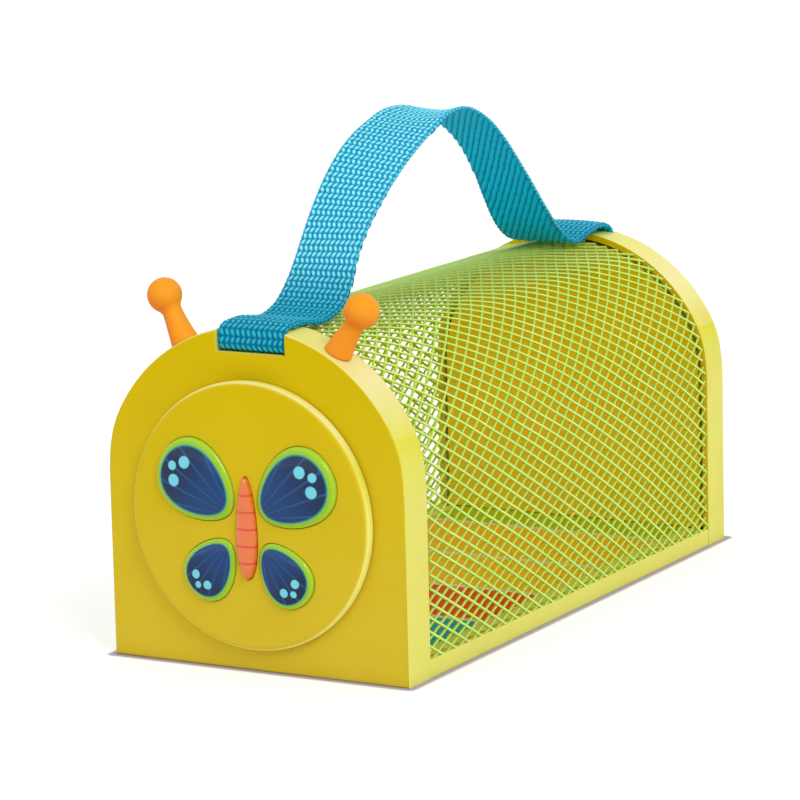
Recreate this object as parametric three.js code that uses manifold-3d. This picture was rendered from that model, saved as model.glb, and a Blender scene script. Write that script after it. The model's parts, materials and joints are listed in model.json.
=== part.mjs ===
// A child's bug house: a mesh cabin between two moulded ends, with a webbing strap to carry it
// and a round front door that swings aside on a pin. Millimetres, +Z up, the front towards -Y.
import * as THREE from 'three';
import { mergeVertices } from 'three/addons/utils/BufferGeometryUtils.js';
import Module from 'manifold-3d';

const wasm = await Module();
wasm.setup();

// House outline: upright sides with an arc between the shoulders
const house_width = 112;
const house_length = 240;
const shoulder_height = 72;
const roof_height = 113.7;
const arch_facets = 32;

// Moulded ends
const end_depth = 14.3;
const shell_wall = 2.2;
const edge_round = 0.9;
const edge_steps = 2;

// Clearances, and how far a cutter runs past what it cuts
const seam = 0.05;
const seat = 0.1;
const fit = 0.3;
const overrun = 1;

// Wire mesh, clamped inside the rims and in a groove of the base
const mesh_inset = 2.6;
const mesh_thickness = 1;
const mesh_tuck = 3.7;
const mesh_long_pitch = 33;
const mesh_short_pitch = 20;
const mesh_strand = 1.9;
const mesh_border = 2.2;

// Liners that close the ends from the cabin
const liner_plate = 2;
const liner_recess = 0.2;
const skirt_depth = 2.1;
const skirt_wall = 1.8;
const post_radius = 1.9;
const post_engaged = 3.5;
const post_boss_height = 6.8;
const post_boss_wall = 1.8;
const post_inset = 10;
const low_post_z = 22;
const high_post_share = 0.6;
const post_sides = 12;

// Base with a ribbed underside, and its striped mat
const rail_height = 6;
const rail_width = 5.8;
const floor_plate = 2;
const groove_depth = 2.5;
const rib = 1.4;
const rib_pitch = 24;
const tongue_x = 30;
const tongue_width = 16;
const tongue_boss_radius = 3.4;
const tongue_boss_height = 8.5;
const pad_height = 3.4;
const pad_radius = 4.6;
const mat_thickness = 0.8;
const mat_margin = 9.5;
const mat_end_gap = 3;

// Screws, all of one kind but for their length
const screw_radius = 1.1;
const screw_head_radius = 2.4;
const screw_head_height = 1.2;
const screw_sides = 8;
const base_screw_length = 5.8;
const clamp_screw_length = 6.2;
const door_screw_length = 5.4;

// Carry strap of 25 mm webbing
const strap_width = 25.4;
const strap_thickness = 1.5;
const strap_bend = 1.5;
const strap_rest = 14;
const hoop_rise = 58.9;
const hoop_dip = 2.35;
const hoop_samples = 50;
const bend_steps = 4;
const fold_run = 9;
const fold_drop = 3.6;
const fold_steps = 5;
const notch_side_gap = 0.4;
const notch_depth = 2.7;
const notch_drop = 8.6;
const notch_backing = 2;
const tail_depth = 7.5;
const tail_length = 8.2;
const clamp_block_height = 5.9;
const clamp_half_width = 19;
const clamp_bar_height = 4.6;
const clamp_bar_thickness = 1.8;
const clamp_screw_x = 16;

// The hoop's two edges: share of the reach along the house, share of the rise above the dip
const left_hoop_shares = [
  [-1, 0.04], [-0.937, 0.014], [-0.868, 0.002], [-0.778, 0.048], [-0.707, 0.148],
  [-0.659, 0.247], [-0.608, 0.37], [-0.548, 0.507], [-0.465, 0.667], [-0.37, 0.803],
  [-0.262, 0.902], [-0.145, 0.961], [-0.049, 0.981], [0.049, 0.979], [0.145, 0.952],
  [0.238, 0.901], [0.348, 0.809], [0.447, 0.682], [0.53, 0.523], [0.599, 0.343],
  [0.673, 0.17], [0.738, 0.072], [0.804, 0.018], [0.872, 0.005], [1, 0.04],
];
const right_hoop_shares = [
  [-1, 0.04], [-0.935, 0.014], [-0.866, 0.004], [-0.776, 0.05], [-0.712, 0.155],
  [-0.678, 0.274], [-0.628, 0.394], [-0.558, 0.511], [-0.462, 0.639], [-0.359, 0.751],
  [-0.252, 0.848], [-0.142, 0.929], [-0.049, 0.975], [0.046, 0.986], [0.14, 0.955],
  [0.227, 0.885], [0.325, 0.761], [0.415, 0.62], [0.502, 0.471], [0.586, 0.318],
  [0.673, 0.17], [0.74, 0.08], [0.805, 0.021], [0.873, 0.004], [1, 0.04],
];

// Front door: a domed disc on a pin, its way in behind it, and the cap that keeps the pin
const door_top_margin = 17.1;
const door_bottom_margin = 7.6;
const door_gap = 0.4;
const door_edge = 3.7;
const door_crown = 1.2;
const door_edge_round = 2;
const door_wall = 2;
const door_sides = 60;
const way_in_corner = 3;
const way_in_margin = 2.3;
const tunnel_wall = 1.8;
const pivot_inset = 6;
const pin_radius = 3;
const pin_clearance = 0.15;
const pin_boss_radius = 5;
const pin_sides = 20;
const cap_radius = 5;
const cap_thickness = 2;
const lug_reach = 7.8;
const lug_width = 3.2;
const stop_inner = 5.6;
const stop_outer = 8.4;
const stop_width = 1.6;
const swing_limit = 110;

// Domed inserts on the door: a butterfly of four wings and a body, in shares of the door's radius
const insert_floor = 3.7;
const insert_groove = 0.3;
const insert_side = 0.9;
const insert_sides = 26;
const insert_rings = 3;
const upper_wing_shares = { x: 0.413, z: 0.234, length: 0.697, width: 0.562, taper: 0.22 };
const lower_wing_shares = { x: 0.306, z: -0.396, length: 0.517, width: 0.404, taper: 0.25 };
const body_shares = { x: 0, z: -0.076, length: 0.764, width: 0.171, taper: -0.22 };
const upper_wing_crown = 2.6;
const lower_wing_crown = 2.2;
const body_crown = 2.4;
const upper_wing = { crown: upper_wing_crown, turn: 34, shares: upper_wing_shares };
const lower_wing = { crown: lower_wing_crown, turn: -52, shares: lower_wing_shares };
const butterfly_body = { crown: body_crown, turn: 90, shares: body_shares };

// Peg antennae with a ball, snapped into the front rim
const antenna_angle = 29.5;
const antenna_depth = 7;
const ball_radius = 6;
const ball_reach = 16.8;
const stem_base_radius = 4.9;
const stem_top_radius = 3.2;
const stem_flare = 0.6;
const root_radius = 2.1;
const barb_radius = 2.6;
const barb_length = 2;
const antenna_sides = 20;

// Values worked out from the ones above
const half_width = house_width / 2;
const half_length = house_length / 2;
const arch_rise = roof_height - shoulder_height;
const arch_radius = (half_width ** 2 + arch_rise ** 2) / (2 * arch_rise);
const arch_centre = roof_height - arch_radius;
const shoulder_angle = Math.acos(half_width / arch_radius);
const cabin_half = half_length - end_depth;
const liner_inset = mesh_inset + mesh_thickness + fit;
const liner_face = end_depth - liner_recess;
const liner_back = liner_face - liner_plate;
const liner_floor = rail_height + fit;
const strap_reach = half_length - strap_rest;
const strap_top = roof_height + fit + strap_thickness / 2;
const notch_bottom = roof_height - notch_drop;
const channel_height = notch_bottom + fit + strap_thickness / 2;
const channel_top = channel_height + strap_thickness / 2 + fit;
const strap_face_depth = notch_depth - fit + seam - strap_thickness / 2;
const block_top = notch_bottom - seat;
const block_back = tail_depth - strap_thickness / 2 - fit;
const clamp_front = tail_depth + strap_thickness / 2 + fit;
const clamp_back = clamp_front + clamp_bar_thickness;
const clamp_screw_z = block_top - clamp_block_height / 2;
const hole_radius = screw_radius + fit;
const tongue_end_depth = shell_wall + 2 * fit;
const base_screw_depth = tongue_end_depth + tongue_boss_radius;
const door_radius = (roof_height - door_top_margin - door_bottom_margin) / 2;
const door_height = door_bottom_margin + door_radius;
const pivot_offset = door_radius - pivot_inset;
const way_in_half = pivot_offset - stop_outer - tunnel_wall - way_in_margin;
const cap_front = shell_wall + door_gap;
const insert_top = door_gap + insert_floor + seat + insert_side;
const front_proud = insert_top + upper_wing_crown;

const finishes = {
  shell: { color: 0xe6cf1c, roughness: 0.38, metalness: 0 },
  base: { color: 0xe8dc3c, roughness: 0.4, metalness: 0 },
  liner: { color: 0xdbb80c, roughness: 0.45, metalness: 0 },
  mat: { color: 0xd79a14, roughness: 0.7, metalness: 0 },
  mesh: { color: 0xa6e064, roughness: 0.45, metalness: 0 },
  strap: { color: 0x1e9fd2, roughness: 0.8, metalness: 0 },
  door: { color: 0xe2c41a, roughness: 0.32, metalness: 0 },
  wing: { color: 0x0b4f8a, roughness: 0.12, metalness: 0 },
  orange: { color: 0xf79a2c, roughness: 0.42, metalness: 0 },
  clamp: { color: 0xf0efe6, roughness: 0.5, metalness: 0 },
  steel: { color: 0xb8babd, roughness: 0.35, metalness: 1 },
};

const degrees = THREE.MathUtils.degToRad;

// Solids: closed geometry in, closed geometry out

function signedVolume(points, faces) {
  let sum = 0;
  for (const [a, b, c] of faces) {
    sum += points[a].dot(points[b].clone().cross(points[c]));
  }
  return sum / 6;
}

function closedGeometry(points, faces) {
  const outward = signedVolume(points, faces) > 0;
  const index = [];
  for (const [a, b, c] of faces) {
    index.push(...(outward ? [a, b, c] : [a, c, b]));
  }
  const geometry = new THREE.BufferGeometry().setFromPoints(points);
  geometry.setIndex(index);
  return geometry;
}

function solid(geometry) {
  const bare = geometry.clone();
  bare.deleteAttribute('normal');
  bare.deleteAttribute('uv');
  const merged = mergeVertices(bare);
  const place = merged.getAttribute('position');
  const points = [];
  for (let i = 0; i < place.count; i += 1) {
    points.push(new THREE.Vector3().fromBufferAttribute(place, i));
  }
  const faces = [];
  const index = merged.getIndex();
  for (let i = 0; i < index.count; i += 3) {
    const face = [index.getX(i), index.getX(i + 1), index.getX(i + 2)];
    if (new Set(face).size === 3) {
      faces.push(face);
    }
  }
  const closed = closedGeometry(points, faces);
  return new wasm.Manifold(new wasm.Mesh({
    numProp: 3,
    vertProperties: new Float32Array(closed.getAttribute('position').array),
    triVerts: new Uint32Array(closed.getIndex().array),
  }));
}

function geometryOf(manifold) {
  const mesh = manifold.getMesh();
  const geometry = new THREE.BufferGeometry();
  geometry.setAttribute('position', new THREE.BufferAttribute(new Float32Array(mesh.vertProperties), 3));
  geometry.setIndex(new THREE.BufferAttribute(new Uint32Array(mesh.triVerts), 1));
  geometry.computeVertexNormals();
  return geometry;
}

function addPiece(group, name, shape, finish) {
  const geometry = shape.isBufferGeometry ? geometryOf(solid(shape)) : geometryOf(shape);
  const mesh = new THREE.Mesh(geometry, new THREE.MeshStandardMaterial(finishes[finish]));
  mesh.name = name;
  group.add(mesh);
  return mesh;
}

function block(x0, x1, y0, y1, z0, z1) {
  const box = new THREE.BoxGeometry(x1 - x0, y1 - y0, z1 - z0);
  box.translate((x0 + x1) / 2, (y0 + y1) / 2, (z0 + z1) / 2);
  return solid(box);
}

function rodAlongY(radius, x, z, y0, y1, sides) {
  const rod = new THREE.CylinderGeometry(radius, radius, y1 - y0, sides);
  rod.translate(x, (y0 + y1) / 2, z);
  return solid(rod);
}

function rodAlongZ(radius, x, y, z0, z1, sides) {
  const rod = new THREE.CylinderGeometry(radius, radius, z1 - z0, sides);
  rod.rotateX(Math.PI / 2);
  rod.translate(x, y, (z0 + z1) / 2);
  return solid(rod);
}

// A skin through rings of equal length, closed at both ends
function loft(rings) {
  const points = rings.flat();
  const count = rings[0].length;
  const faces = [];
  for (let r = 0; r + 1 < rings.length; r += 1) {
    for (let i = 0; i < count; i += 1) {
      const a = r * count + i;
      const b = r * count + ((i + 1) % count);
      faces.push([a, b, b + count], [a, b + count, a + count]);
    }
  }
  const flat = rings[0].map((p) => new THREE.Vector2(p.x, p.z));
  const last = (rings.length - 1) * count;
  const clockwise = THREE.ShapeUtils.isClockWise(flat);
  for (const corners of THREE.ShapeUtils.triangulateShape(flat, [])) {
    const turned = THREE.ShapeUtils.isClockWise(corners.map((i) => flat[i])) !== clockwise;
    const [a, b, c] = turned ? corners.slice().reverse() : corners;
    faces.push([c, b, a], [last + a, last + b, last + c]);
  }
  return solid(closedGeometry(points, faces));
}

// The house outline at one place along the house, taken in all round by the inset
function outline(inset, floor, y) {
  const radius = arch_radius - inset;
  const side = half_width - inset;
  const shoulder = Math.atan2(Math.sqrt(radius ** 2 - side ** 2), side);
  const ring = [new THREE.Vector3(-side, y, floor), new THREE.Vector3(side, y, floor)];
  for (let i = 0; i <= arch_facets; i += 1) {
    const angle = shoulder + (i / arch_facets) * (Math.PI - 2 * shoulder);
    const x = radius * Math.cos(angle);
    ring.push(new THREE.Vector3(x, y, arch_centre + radius * Math.sin(angle)));
  }
  return ring;
}

function houseSlab(inset, floor, y0, y1) {
  return loft([outline(inset, floor, y0), outline(inset, floor, y1)]);
}

// Ends, drawn with the outer face at y = 0 and the cabin towards +Y

// Two posts low down, and two under the arch, part of the way from the ridge to the shoulders
function postPlaces() {
  const low_x = half_width - post_inset;
  const angle = high_post_share * (Math.PI / 2 - shoulder_angle);
  const high_x = (arch_radius - post_inset) * Math.sin(angle);
  const high_z = arch_centre + (arch_radius - post_inset) * Math.cos(angle);
  return [[-low_x, low_post_z], [low_x, low_post_z], [-high_x, high_z], [high_x, high_z]];
}

// A square bar with cut corners, about the door's middle
function wayInBar(half, y0, y1) {
  const short = half - way_in_corner;
  const corners = [
    [-short, -half], [short, -half], [half, -short], [half, short],
    [short, half], [-short, half], [-half, short], [-half, -short],
  ];
  return loft([y0, y1].map((y) => corners.map(([x, z]) => new THREE.Vector3(x, y, door_height + z))));
}

function antennaCutter(sign) {
  const radius = root_radius + fit;
  const hole = new THREE.CylinderGeometry(radius, radius, 2 * shell_wall + fit, antenna_sides);
  hole.translate(0, arch_radius - shell_wall / 2, 0);
  hole.rotateX(Math.PI / 2);
  hole.rotateY(sign * degrees(antenna_angle));
  hole.translate(0, antenna_depth, arch_centre);
  return solid(hole);
}

function stopRib(sign) {
  const contact = Math.asin((lug_width / 2 + stop_width / 2 + pin_clearance) / stop_inner);
  const length = stop_outer - stop_inner;
  const height = cap_thickness + door_gap + shell_wall / 2;
  const bar = new THREE.BoxGeometry(stop_width, height, length);
  bar.translate(0, shell_wall / 2 + height / 2, stop_inner + length / 2);
  bar.rotateY(sign * (degrees(swing_limit) + contact));
  bar.translate(0, 0, door_height + pivot_offset);
  return solid(bar);
}

// The strap's fold over the rim, a quarter of an oval, moved in by an offset
function foldPoints(offset) {
  const points = [];
  for (let i = 0; i <= fold_steps; i += 1) {
    const angle = (i / fold_steps) * (Math.PI / 2);
    const y = strap_face_depth + fold_run * (1 - Math.cos(angle));
    const z = strap_top - fold_drop * (1 - Math.sin(angle));
    const across = new THREE.Vector3(0, fold_drop * Math.cos(angle), -fold_run * Math.sin(angle));
    points.push(across.setLength(offset).add(new THREE.Vector3(0, y, z)));
  }
  return points;
}

// What is cut from the rim under the fold
function foldSeat(half) {
  const top = roof_height + overrun;
  const seat_line = foldPoints(strap_thickness / 2 + fit);
  const start = new THREE.Vector3(0, strap_face_depth, seat_line[0].z);
  const rings = [start, ...seat_line].map(({ y, z }) => [
    new THREE.Vector3(-half, y, z), new THREE.Vector3(half, y, z),
    new THREE.Vector3(half, y, top), new THREE.Vector3(-half, y, top),
  ]);
  return loft(rings);
}

function strapSeat(shell) {
  const half = strap_width / 2 + notch_side_gap;
  const outer = half + shell_wall;
  const backing_back = notch_depth + notch_backing;
  const rim_top = roof_height - shell_wall / 2;
  const backing = block(-outer, outer, shell_wall / 2, backing_back, notch_bottom, rim_top);
  const inside = houseSlab(shell_wall / 2, shell_wall, shell_wall / 2, backing_back);
  const clamp = block(
    -clamp_half_width, clamp_half_width, shell_wall / 2, block_back,
    block_top - clamp_block_height, block_top,
  );
  let body = shell.add(backing.intersect(inside)).add(clamp);
  const top = roof_height + overrun;
  body = body.subtract(block(-half, half, -overrun, notch_depth, notch_bottom, top));
  body = body.subtract(foldSeat(half));
  body = body.subtract(block(-half, half, -overrun, backing_back + overrun, notch_bottom, channel_top));
  for (const x of [-clamp_screw_x, clamp_screw_x]) {
    const deep = block_back + overrun;
    body = body.subtract(rodAlongY(hole_radius, x, clamp_screw_z, shell_wall, deep, screw_sides));
  }
  return body;
}

function endShell(with_door) {
  const rings = [];
  for (let i = 0; i <= edge_steps; i += 1) {
    const angle = (i / edge_steps) * (Math.PI / 2);
    const inset = edge_round * (1 - Math.sin(angle));
    rings.push(outline(inset, inset, edge_round * (1 - Math.cos(angle))));
  }
  rings.push(outline(0, 0, end_depth));
  let body = loft(rings).subtract(houseSlab(shell_wall, shell_wall, shell_wall, end_depth + overrun));
  for (const [x, z] of postPlaces()) {
    const tall = shell_wall + post_boss_height;
    const outer = post_radius + fit + post_boss_wall;
    body = body.add(rodAlongY(outer, x, z, shell_wall / 2, tall, post_sides));
    body = body.subtract(rodAlongY(post_radius + fit, x, z, shell_wall, tall + overrun, post_sides));
  }
  body = strapSeat(body);
  for (const x of [-tongue_x, tongue_x]) {
    const y = base_screw_depth;
    body = body.add(rodAlongZ(pad_radius, x, y, shell_wall / 2, pad_height, post_sides));
    const bore_top = pad_height + overrun;
    body = body.subtract(rodAlongZ(hole_radius, x, y, -overrun, bore_top, screw_sides));
    const sink = screw_head_height + 2 * fit;
    body = body.subtract(rodAlongZ(screw_head_radius + fit, x, y, -overrun, sink, post_sides));
  }
  if (with_door) {
    const through = shell_wall + overrun;
    const pivot = door_height + pivot_offset;
    body = body.subtract(wayInBar(way_in_half, -overrun, through));
    body = body.subtract(rodAlongY(pin_radius + pin_clearance, 0, pivot, -overrun, through, pin_sides));
    for (const sign of [-1, 1]) {
      body = body.add(stopRib(sign)).subtract(antennaCutter(sign));
    }
  }
  return body;
}

function endLiner(with_door) {
  const skirt_front = liner_back - skirt_depth;
  const pocket_floor = liner_floor + skirt_wall;
  const pocket = houseSlab(liner_inset + skirt_wall, pocket_floor, skirt_front - overrun, liner_back);
  let body = houseSlab(liner_inset, liner_floor, skirt_front, liner_face).subtract(pocket);
  for (const [x, z] of postPlaces()) {
    const tip = shell_wall + post_boss_height - post_engaged;
    body = body.add(rodAlongY(post_radius, x, z, tip, liner_back + liner_plate / 2, post_sides));
  }
  if (with_door) {
    const tip = shell_wall + fit;
    body = body.add(wayInBar(way_in_half + tunnel_wall, tip, liner_back + liner_plate / 2));
    body = body.subtract(wayInBar(way_in_half, tip - overrun, liner_face + overrun));
  }
  return body;
}

function strapClamp() {
  const middle = clamp_screw_z;
  const half = clamp_bar_height / 2;
  let bar = block(-clamp_half_width, clamp_half_width, clamp_front, clamp_back, middle - half, middle + half);
  for (const x of [-clamp_screw_x, clamp_screw_x]) {
    const past = clamp_back + overrun;
    bar = bar.subtract(rodAlongY(hole_radius, x, middle, clamp_front - overrun, past, screw_sides));
  }
  return bar;
}

// A pan-head screw with its seat at the origin and its point towards -Y
function screw(length) {
  const profile = [
    [0, -length], [screw_radius, screw_radius - length], [screw_radius, 0],
    [screw_head_radius, 0], [screw_head_radius * 0.85, screw_head_height], [0, screw_head_height],
  ];
  const lathe = new THREE.LatheGeometry(profile.map(([r, h]) => new THREE.Vector2(r, h)), screw_sides);
  return solid(lathe);
}

function addEnd(house, side, sign, with_door) {
  const end = new THREE.Group();
  end.position.y = sign * half_length;
  end.rotation.z = sign > 0 ? Math.PI : 0;
  house.add(end);
  addPiece(end, `${side}_shell`, endShell(with_door), 'shell');
  addPiece(end, `${side}_liner`, endLiner(with_door), 'liner');
  addPiece(end, `${side}_strap_clamp`, strapClamp(), 'clamp');
  for (const [label, x] of [['left', -1], ['right', 1]]) {
    const clamp_screw = addPiece(end, `${side}_clamp_screw_${label}`, screw(clamp_screw_length), 'steel');
    clamp_screw.position.set(x * clamp_screw_x, clamp_back + seat, clamp_screw_z);
    const base_screw = addPiece(end, `${side}_base_screw_${label}`, screw(base_screw_length), 'steel');
    base_screw.position.set(x * tongue_x, base_screw_depth, screw_head_height + 2 * fit - seat);
    base_screw.rotation.x = -Math.PI / 2;
  }
  return end;
}

// Base and mat

function ribbedPockets() {
  const half_x = half_width - rail_width;
  const half_y = cabin_half - seam - shell_wall;
  const columns = Math.ceil((2 * half_x) / rib_pitch);
  const rows = Math.ceil((2 * half_y) / rib_pitch);
  const step_x = (2 * half_x + rib) / columns;
  const step_y = (2 * half_y + rib) / rows;
  const pockets = [];
  for (let i = 0; i < columns; i += 1) {
    for (let j = 0; j < rows; j += 1) {
      const x = -half_x + i * step_x;
      const y = -half_y + j * step_y;
      pockets.push(block(x, x + step_x - rib, y, y + step_y - rib, -overrun, rail_height - floor_plate));
    }
  }
  return pockets;
}

function baseTray() {
  const half_y = cabin_half - seam;
  let tray = block(-half_width, half_width, -half_y, half_y, 0, rail_height);
  for (const pocket of ribbedPockets()) {
    tray = tray.subtract(pocket);
  }
  const groove_outer = half_width - mesh_inset + fit;
  const groove_inner = groove_outer - mesh_thickness - 2 * fit;
  for (const sign of [-1, 1]) {
    const sides = [sign * groove_inner, sign * groove_outer].sort((a, b) => a - b);
    const bottom = rail_height - groove_depth;
    const past = half_y + overrun;
    tray = tray.subtract(block(sides[0], sides[1], -past, past, bottom, rail_height + overrun));
    for (const x of [-tongue_x, tongue_x]) {
      const tip = sign * (half_length - tongue_end_depth);
      const root = sign * (half_y - shell_wall / 2);
      const [y0, y1] = [tip, root].sort((a, b) => a - b);
      const y = sign * (half_length - base_screw_depth);
      const under = pad_height + fit;
      const half = tongue_width / 2;
      tray = tray.add(block(x - half, x + half, y0, y1, under, rail_height));
      tray = tray.add(rodAlongZ(tongue_boss_radius, x, y, under, tongue_boss_height, post_sides));
      const blind = screw_head_height + 2 * fit + base_screw_length + fit;
      tray = tray.subtract(rodAlongZ(hole_radius, x, y, 0, blind, screw_sides));
    }
  }
  return tray;
}

function floorMat() {
  const half_x = half_width - mat_margin;
  const half_y = cabin_half - mat_end_gap;
  const bottom = rail_height + seam;
  return block(-half_x, half_x, -half_y, half_y, bottom, bottom + mat_thickness);
}

// Wire mesh: a sheet of diamonds drawn flat, then bent to its place

// Convex cells that share their corners, as one closed plate of the given thickness
function plateOfCells(cells, thickness, bend) {
  const keys = new Map();
  const flat = [];
  const indexOf = ([u, v]) => {
    const key = `${u.toFixed(4)} ${v.toFixed(4)}`;
    if (!keys.has(key)) {
      keys.set(key, flat.length);
      flat.push([u, v]);
    }
    return keys.get(key);
  };
  const rings = cells.map((cell) => cell.map(indexOf));
  const count = flat.length;
  const points = [...flat.map(([u, v]) => bend(u, v, thickness)), ...flat.map(([u, v]) => bend(u, v, 0))];
  const edges = new Map();
  const faces = [];
  for (const ring of rings) {
    for (let i = 1; i + 1 < ring.length; i += 1) {
      faces.push([ring[0], ring[i], ring[i + 1]]);
      faces.push([ring[0] + count, ring[i + 1] + count, ring[i] + count]);
    }
    ring.forEach((a, i) => {
      const b = ring[(i + 1) % ring.length];
      edges.set(`${a} ${b}`, [a, b]);
    });
  }
  for (const [a, b] of edges.values()) {
    if (!edges.has(`${b} ${a}`)) {
      faces.push([a, a + count, b + count], [a, b + count, b]);
    }
  }
  return solid(closedGeometry(points, faces));
}

// Cells of a diamond lattice from u0 to u1 around the house and v0 to v1 along it. The ends along
// the house have a plain border, and the low edge has one of its own width, or none where it is 0.
function latticeCells(u0, u1, v0, v1, low_border) {
  const start_u = u0 + low_border;
  const start_v = v0 + mesh_border;
  const end_v = v1 - mesh_border;
  const rows = 2 * Math.round((u1 - start_u) / mesh_short_pitch);
  const columns = Math.round((end_v - start_v) / (mesh_long_pitch / 2));
  const du = (u1 - start_u) / rows;
  const dv = (end_v - start_v) / columns;
  const slant = Math.hypot(du, dv);
  const cut_u = (mesh_strand / 2) * (slant / dv);
  const cut_v = (mesh_strand / 2) * (slant / du);
  const cells = [];
  for (let i = 0; i < rows; i += 1) {
    for (let j = 0; j < columns; j += 1) {
      const a = start_u + i * du;
      const b = start_u + (i + 1) * du;
      const c = start_v + j * dv;
      const d = start_v + (j + 1) * dv;
      const rising = (i + j) % 2 === 0;
      cells.push(rising
        ? [[a, c], [a + cut_u, c], [b, d - cut_v], [b, d], [b - cut_u, d], [a, c + cut_v]]
        : [[b, c], [b, c + cut_v], [a + cut_u, d], [a, d], [a, d - cut_v], [b - cut_u, c]]);
      const near_u = rising ? a + cut_u : b - cut_u;
      const far_u = rising ? b - cut_u : a + cut_u;
      const low_v = rising ? c + cut_v : d - cut_v;
      if (j === 0) {
        cells.push([[a, v0], [near_u, v0], [near_u, c], [a, c]]);
        cells.push([[near_u, v0], [b, v0], [b, c], [near_u, c]]);
      }
      if (j === columns - 1) {
        cells.push([[a, d], [far_u, d], [far_u, v1], [a, v1]]);
        cells.push([[far_u, d], [b, d], [b, v1], [far_u, v1]]);
      }
      if (i === 0 && low_border > 0) {
        cells.push([[u0, c], [a, c], [a, low_v], [u0, low_v]]);
        cells.push([[u0, low_v], [a, low_v], [a, d], [u0, d]]);
      }
    }
  }
  if (low_border > 0) {
    for (const [va, vb] of [[v0, start_v], [end_v, v1]]) {
      cells.push([[u0, va], [start_u, va], [start_u, vb], [u0, vb]]);
    }
  }
  return cells;
}

function meshReach() {
  return cabin_half + mesh_tuck;
}

function shoulderAngle(radius, side) {
  return Math.acos(side / radius);
}

function meshWall(sign) {
  const outer = half_width - mesh_inset;
  const inner = outer - mesh_thickness;
  const angle = shoulderAngle(arch_radius - mesh_inset, outer);
  const top = arch_centre + (arch_radius - mesh_inset) * Math.sin(angle) - fit;
  const bottom = rail_height - groove_depth + fit;
  const bend = (u, v, w) => new THREE.Vector3(sign * (inner + w), v, u);
  const cells = latticeCells(bottom, top, -meshReach(), meshReach(), mesh_border);
  return plateOfCells(cells, mesh_thickness, bend);
}

// The roof's share of the sheet, in strips one diamond wide that run along the house
function roofStrip(index, count) {
  const inner = arch_radius - mesh_inset - mesh_thickness;
  const shoulder = shoulderAngle(arch_radius - mesh_inset, half_width - mesh_inset);
  const sweep = (Math.PI - 2 * shoulder) / count;
  const bend = (u, v, w) => {
    const angle = shoulder + index * sweep + u / inner;
    return new THREE.Vector3((inner + w) * Math.cos(angle), v, arch_centre + (inner + w) * Math.sin(angle));
  };
  const cells = latticeCells(fit / 2, sweep * inner - fit / 2, -meshReach(), meshReach(), 0);
  return plateOfCells(cells, mesh_thickness, bend);
}

function addRoof(house) {
  const shoulder = shoulderAngle(arch_radius - mesh_inset, half_width - mesh_inset);
  const arc = (Math.PI - 2 * shoulder) * (arch_radius - mesh_inset);
  const count = Math.round(arc / mesh_short_pitch);
  for (let i = 0; i < count; i += 1) {
    addPiece(house, `mesh_roof_${i + 1}`, roofStrip(i, count), 'mesh');
  }
}

// Carry strap: a ribbon between two edges, each drawn in the plane x = 0 and then moved out

function bendPoints(y, z, from, to) {
  const points = [];
  for (let i = 0; i <= bend_steps; i += 1) {
    const angle = degrees(from + ((to - from) * i) / bend_steps);
    points.push(new THREE.Vector3(0, y + strap_bend * Math.cos(angle), z + strap_bend * Math.sin(angle)));
  }
  return points;
}

// From the tail inside the front end, out through the slit, up the face and over the rim
function strapEndPoints() {
  const face = -half_length;
  const front = face + strap_face_depth;
  const tail = face + tail_depth;
  return [
    new THREE.Vector3(0, tail, channel_height - tail_length),
    ...bendPoints(tail - strap_bend, channel_height - strap_bend, 0, 90),
    ...bendPoints(front + strap_bend, channel_height + strap_bend, 270, 180),
    ...foldPoints(0).map((point) => point.add(new THREE.Vector3(0, face, 0))),
  ];
}

function strapEdge(hoop_shares) {
  const start = strapEndPoints();
  const finish = start.map((p) => new THREE.Vector3(0, -p.y, p.z)).reverse();
  const dip = strap_top - hoop_dip;
  const knots = hoop_shares.map(([along, up]) => (
    new THREE.Vector3(0, along * strap_reach, dip + up * hoop_rise)
  ));
  const hoop = new THREE.CatmullRomCurve3(knots, false, 'centripetal').getSpacedPoints(hoop_samples);
  return [...start, ...hoop, ...finish];
}

// A point on one face of the strap, at one place along one of its edges
function strapCorner(edge, i, x, side) {
  const before = edge[Math.max(i - 1, 0)];
  const after = edge[Math.min(i + 1, edge.length - 1)];
  const along = after.clone().sub(before).normalize();
  const out = new THREE.Vector3(0, -along.z, along.y).multiplyScalar((side * strap_thickness) / 2);
  return edge[i].clone().add(out).setX(x);
}

function strap() {
  const left = strapEdge(left_hoop_shares);
  const right = strapEdge(right_hoop_shares);
  const rings = left.map((point, i) => {
    const half = Math.sqrt(strap_width ** 2 - point.distanceToSquared(right[i])) / 2;
    return [
      strapCorner(left, i, -half, -1), strapCorner(right, i, half, -1),
      strapCorner(right, i, half, 1), strapCorner(left, i, -half, 1),
    ];
  });
  const faces = [];
  for (let r = 0; r + 1 < rings.length; r += 1) {
    for (let i = 0; i < 4; i += 1) {
      const a = r * 4 + i;
      const b = r * 4 + ((i + 1) % 4);
      faces.push([a, b, b + 4], [a, b + 4, a + 4]);
    }
  }
  const last = (rings.length - 1) * 4;
  faces.push([2, 1, 0], [3, 2, 0], [last, last + 1, last + 2], [last, last + 2, last + 3]);
  return solid(closedGeometry(rings.flat(), faces));
}

// Door, drawn about the disc's centre with the front towards -Y

function discSurface(radius) {
  return door_edge + door_crown * (1 - (radius / (door_radius - door_edge_round)) ** 2);
}

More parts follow.
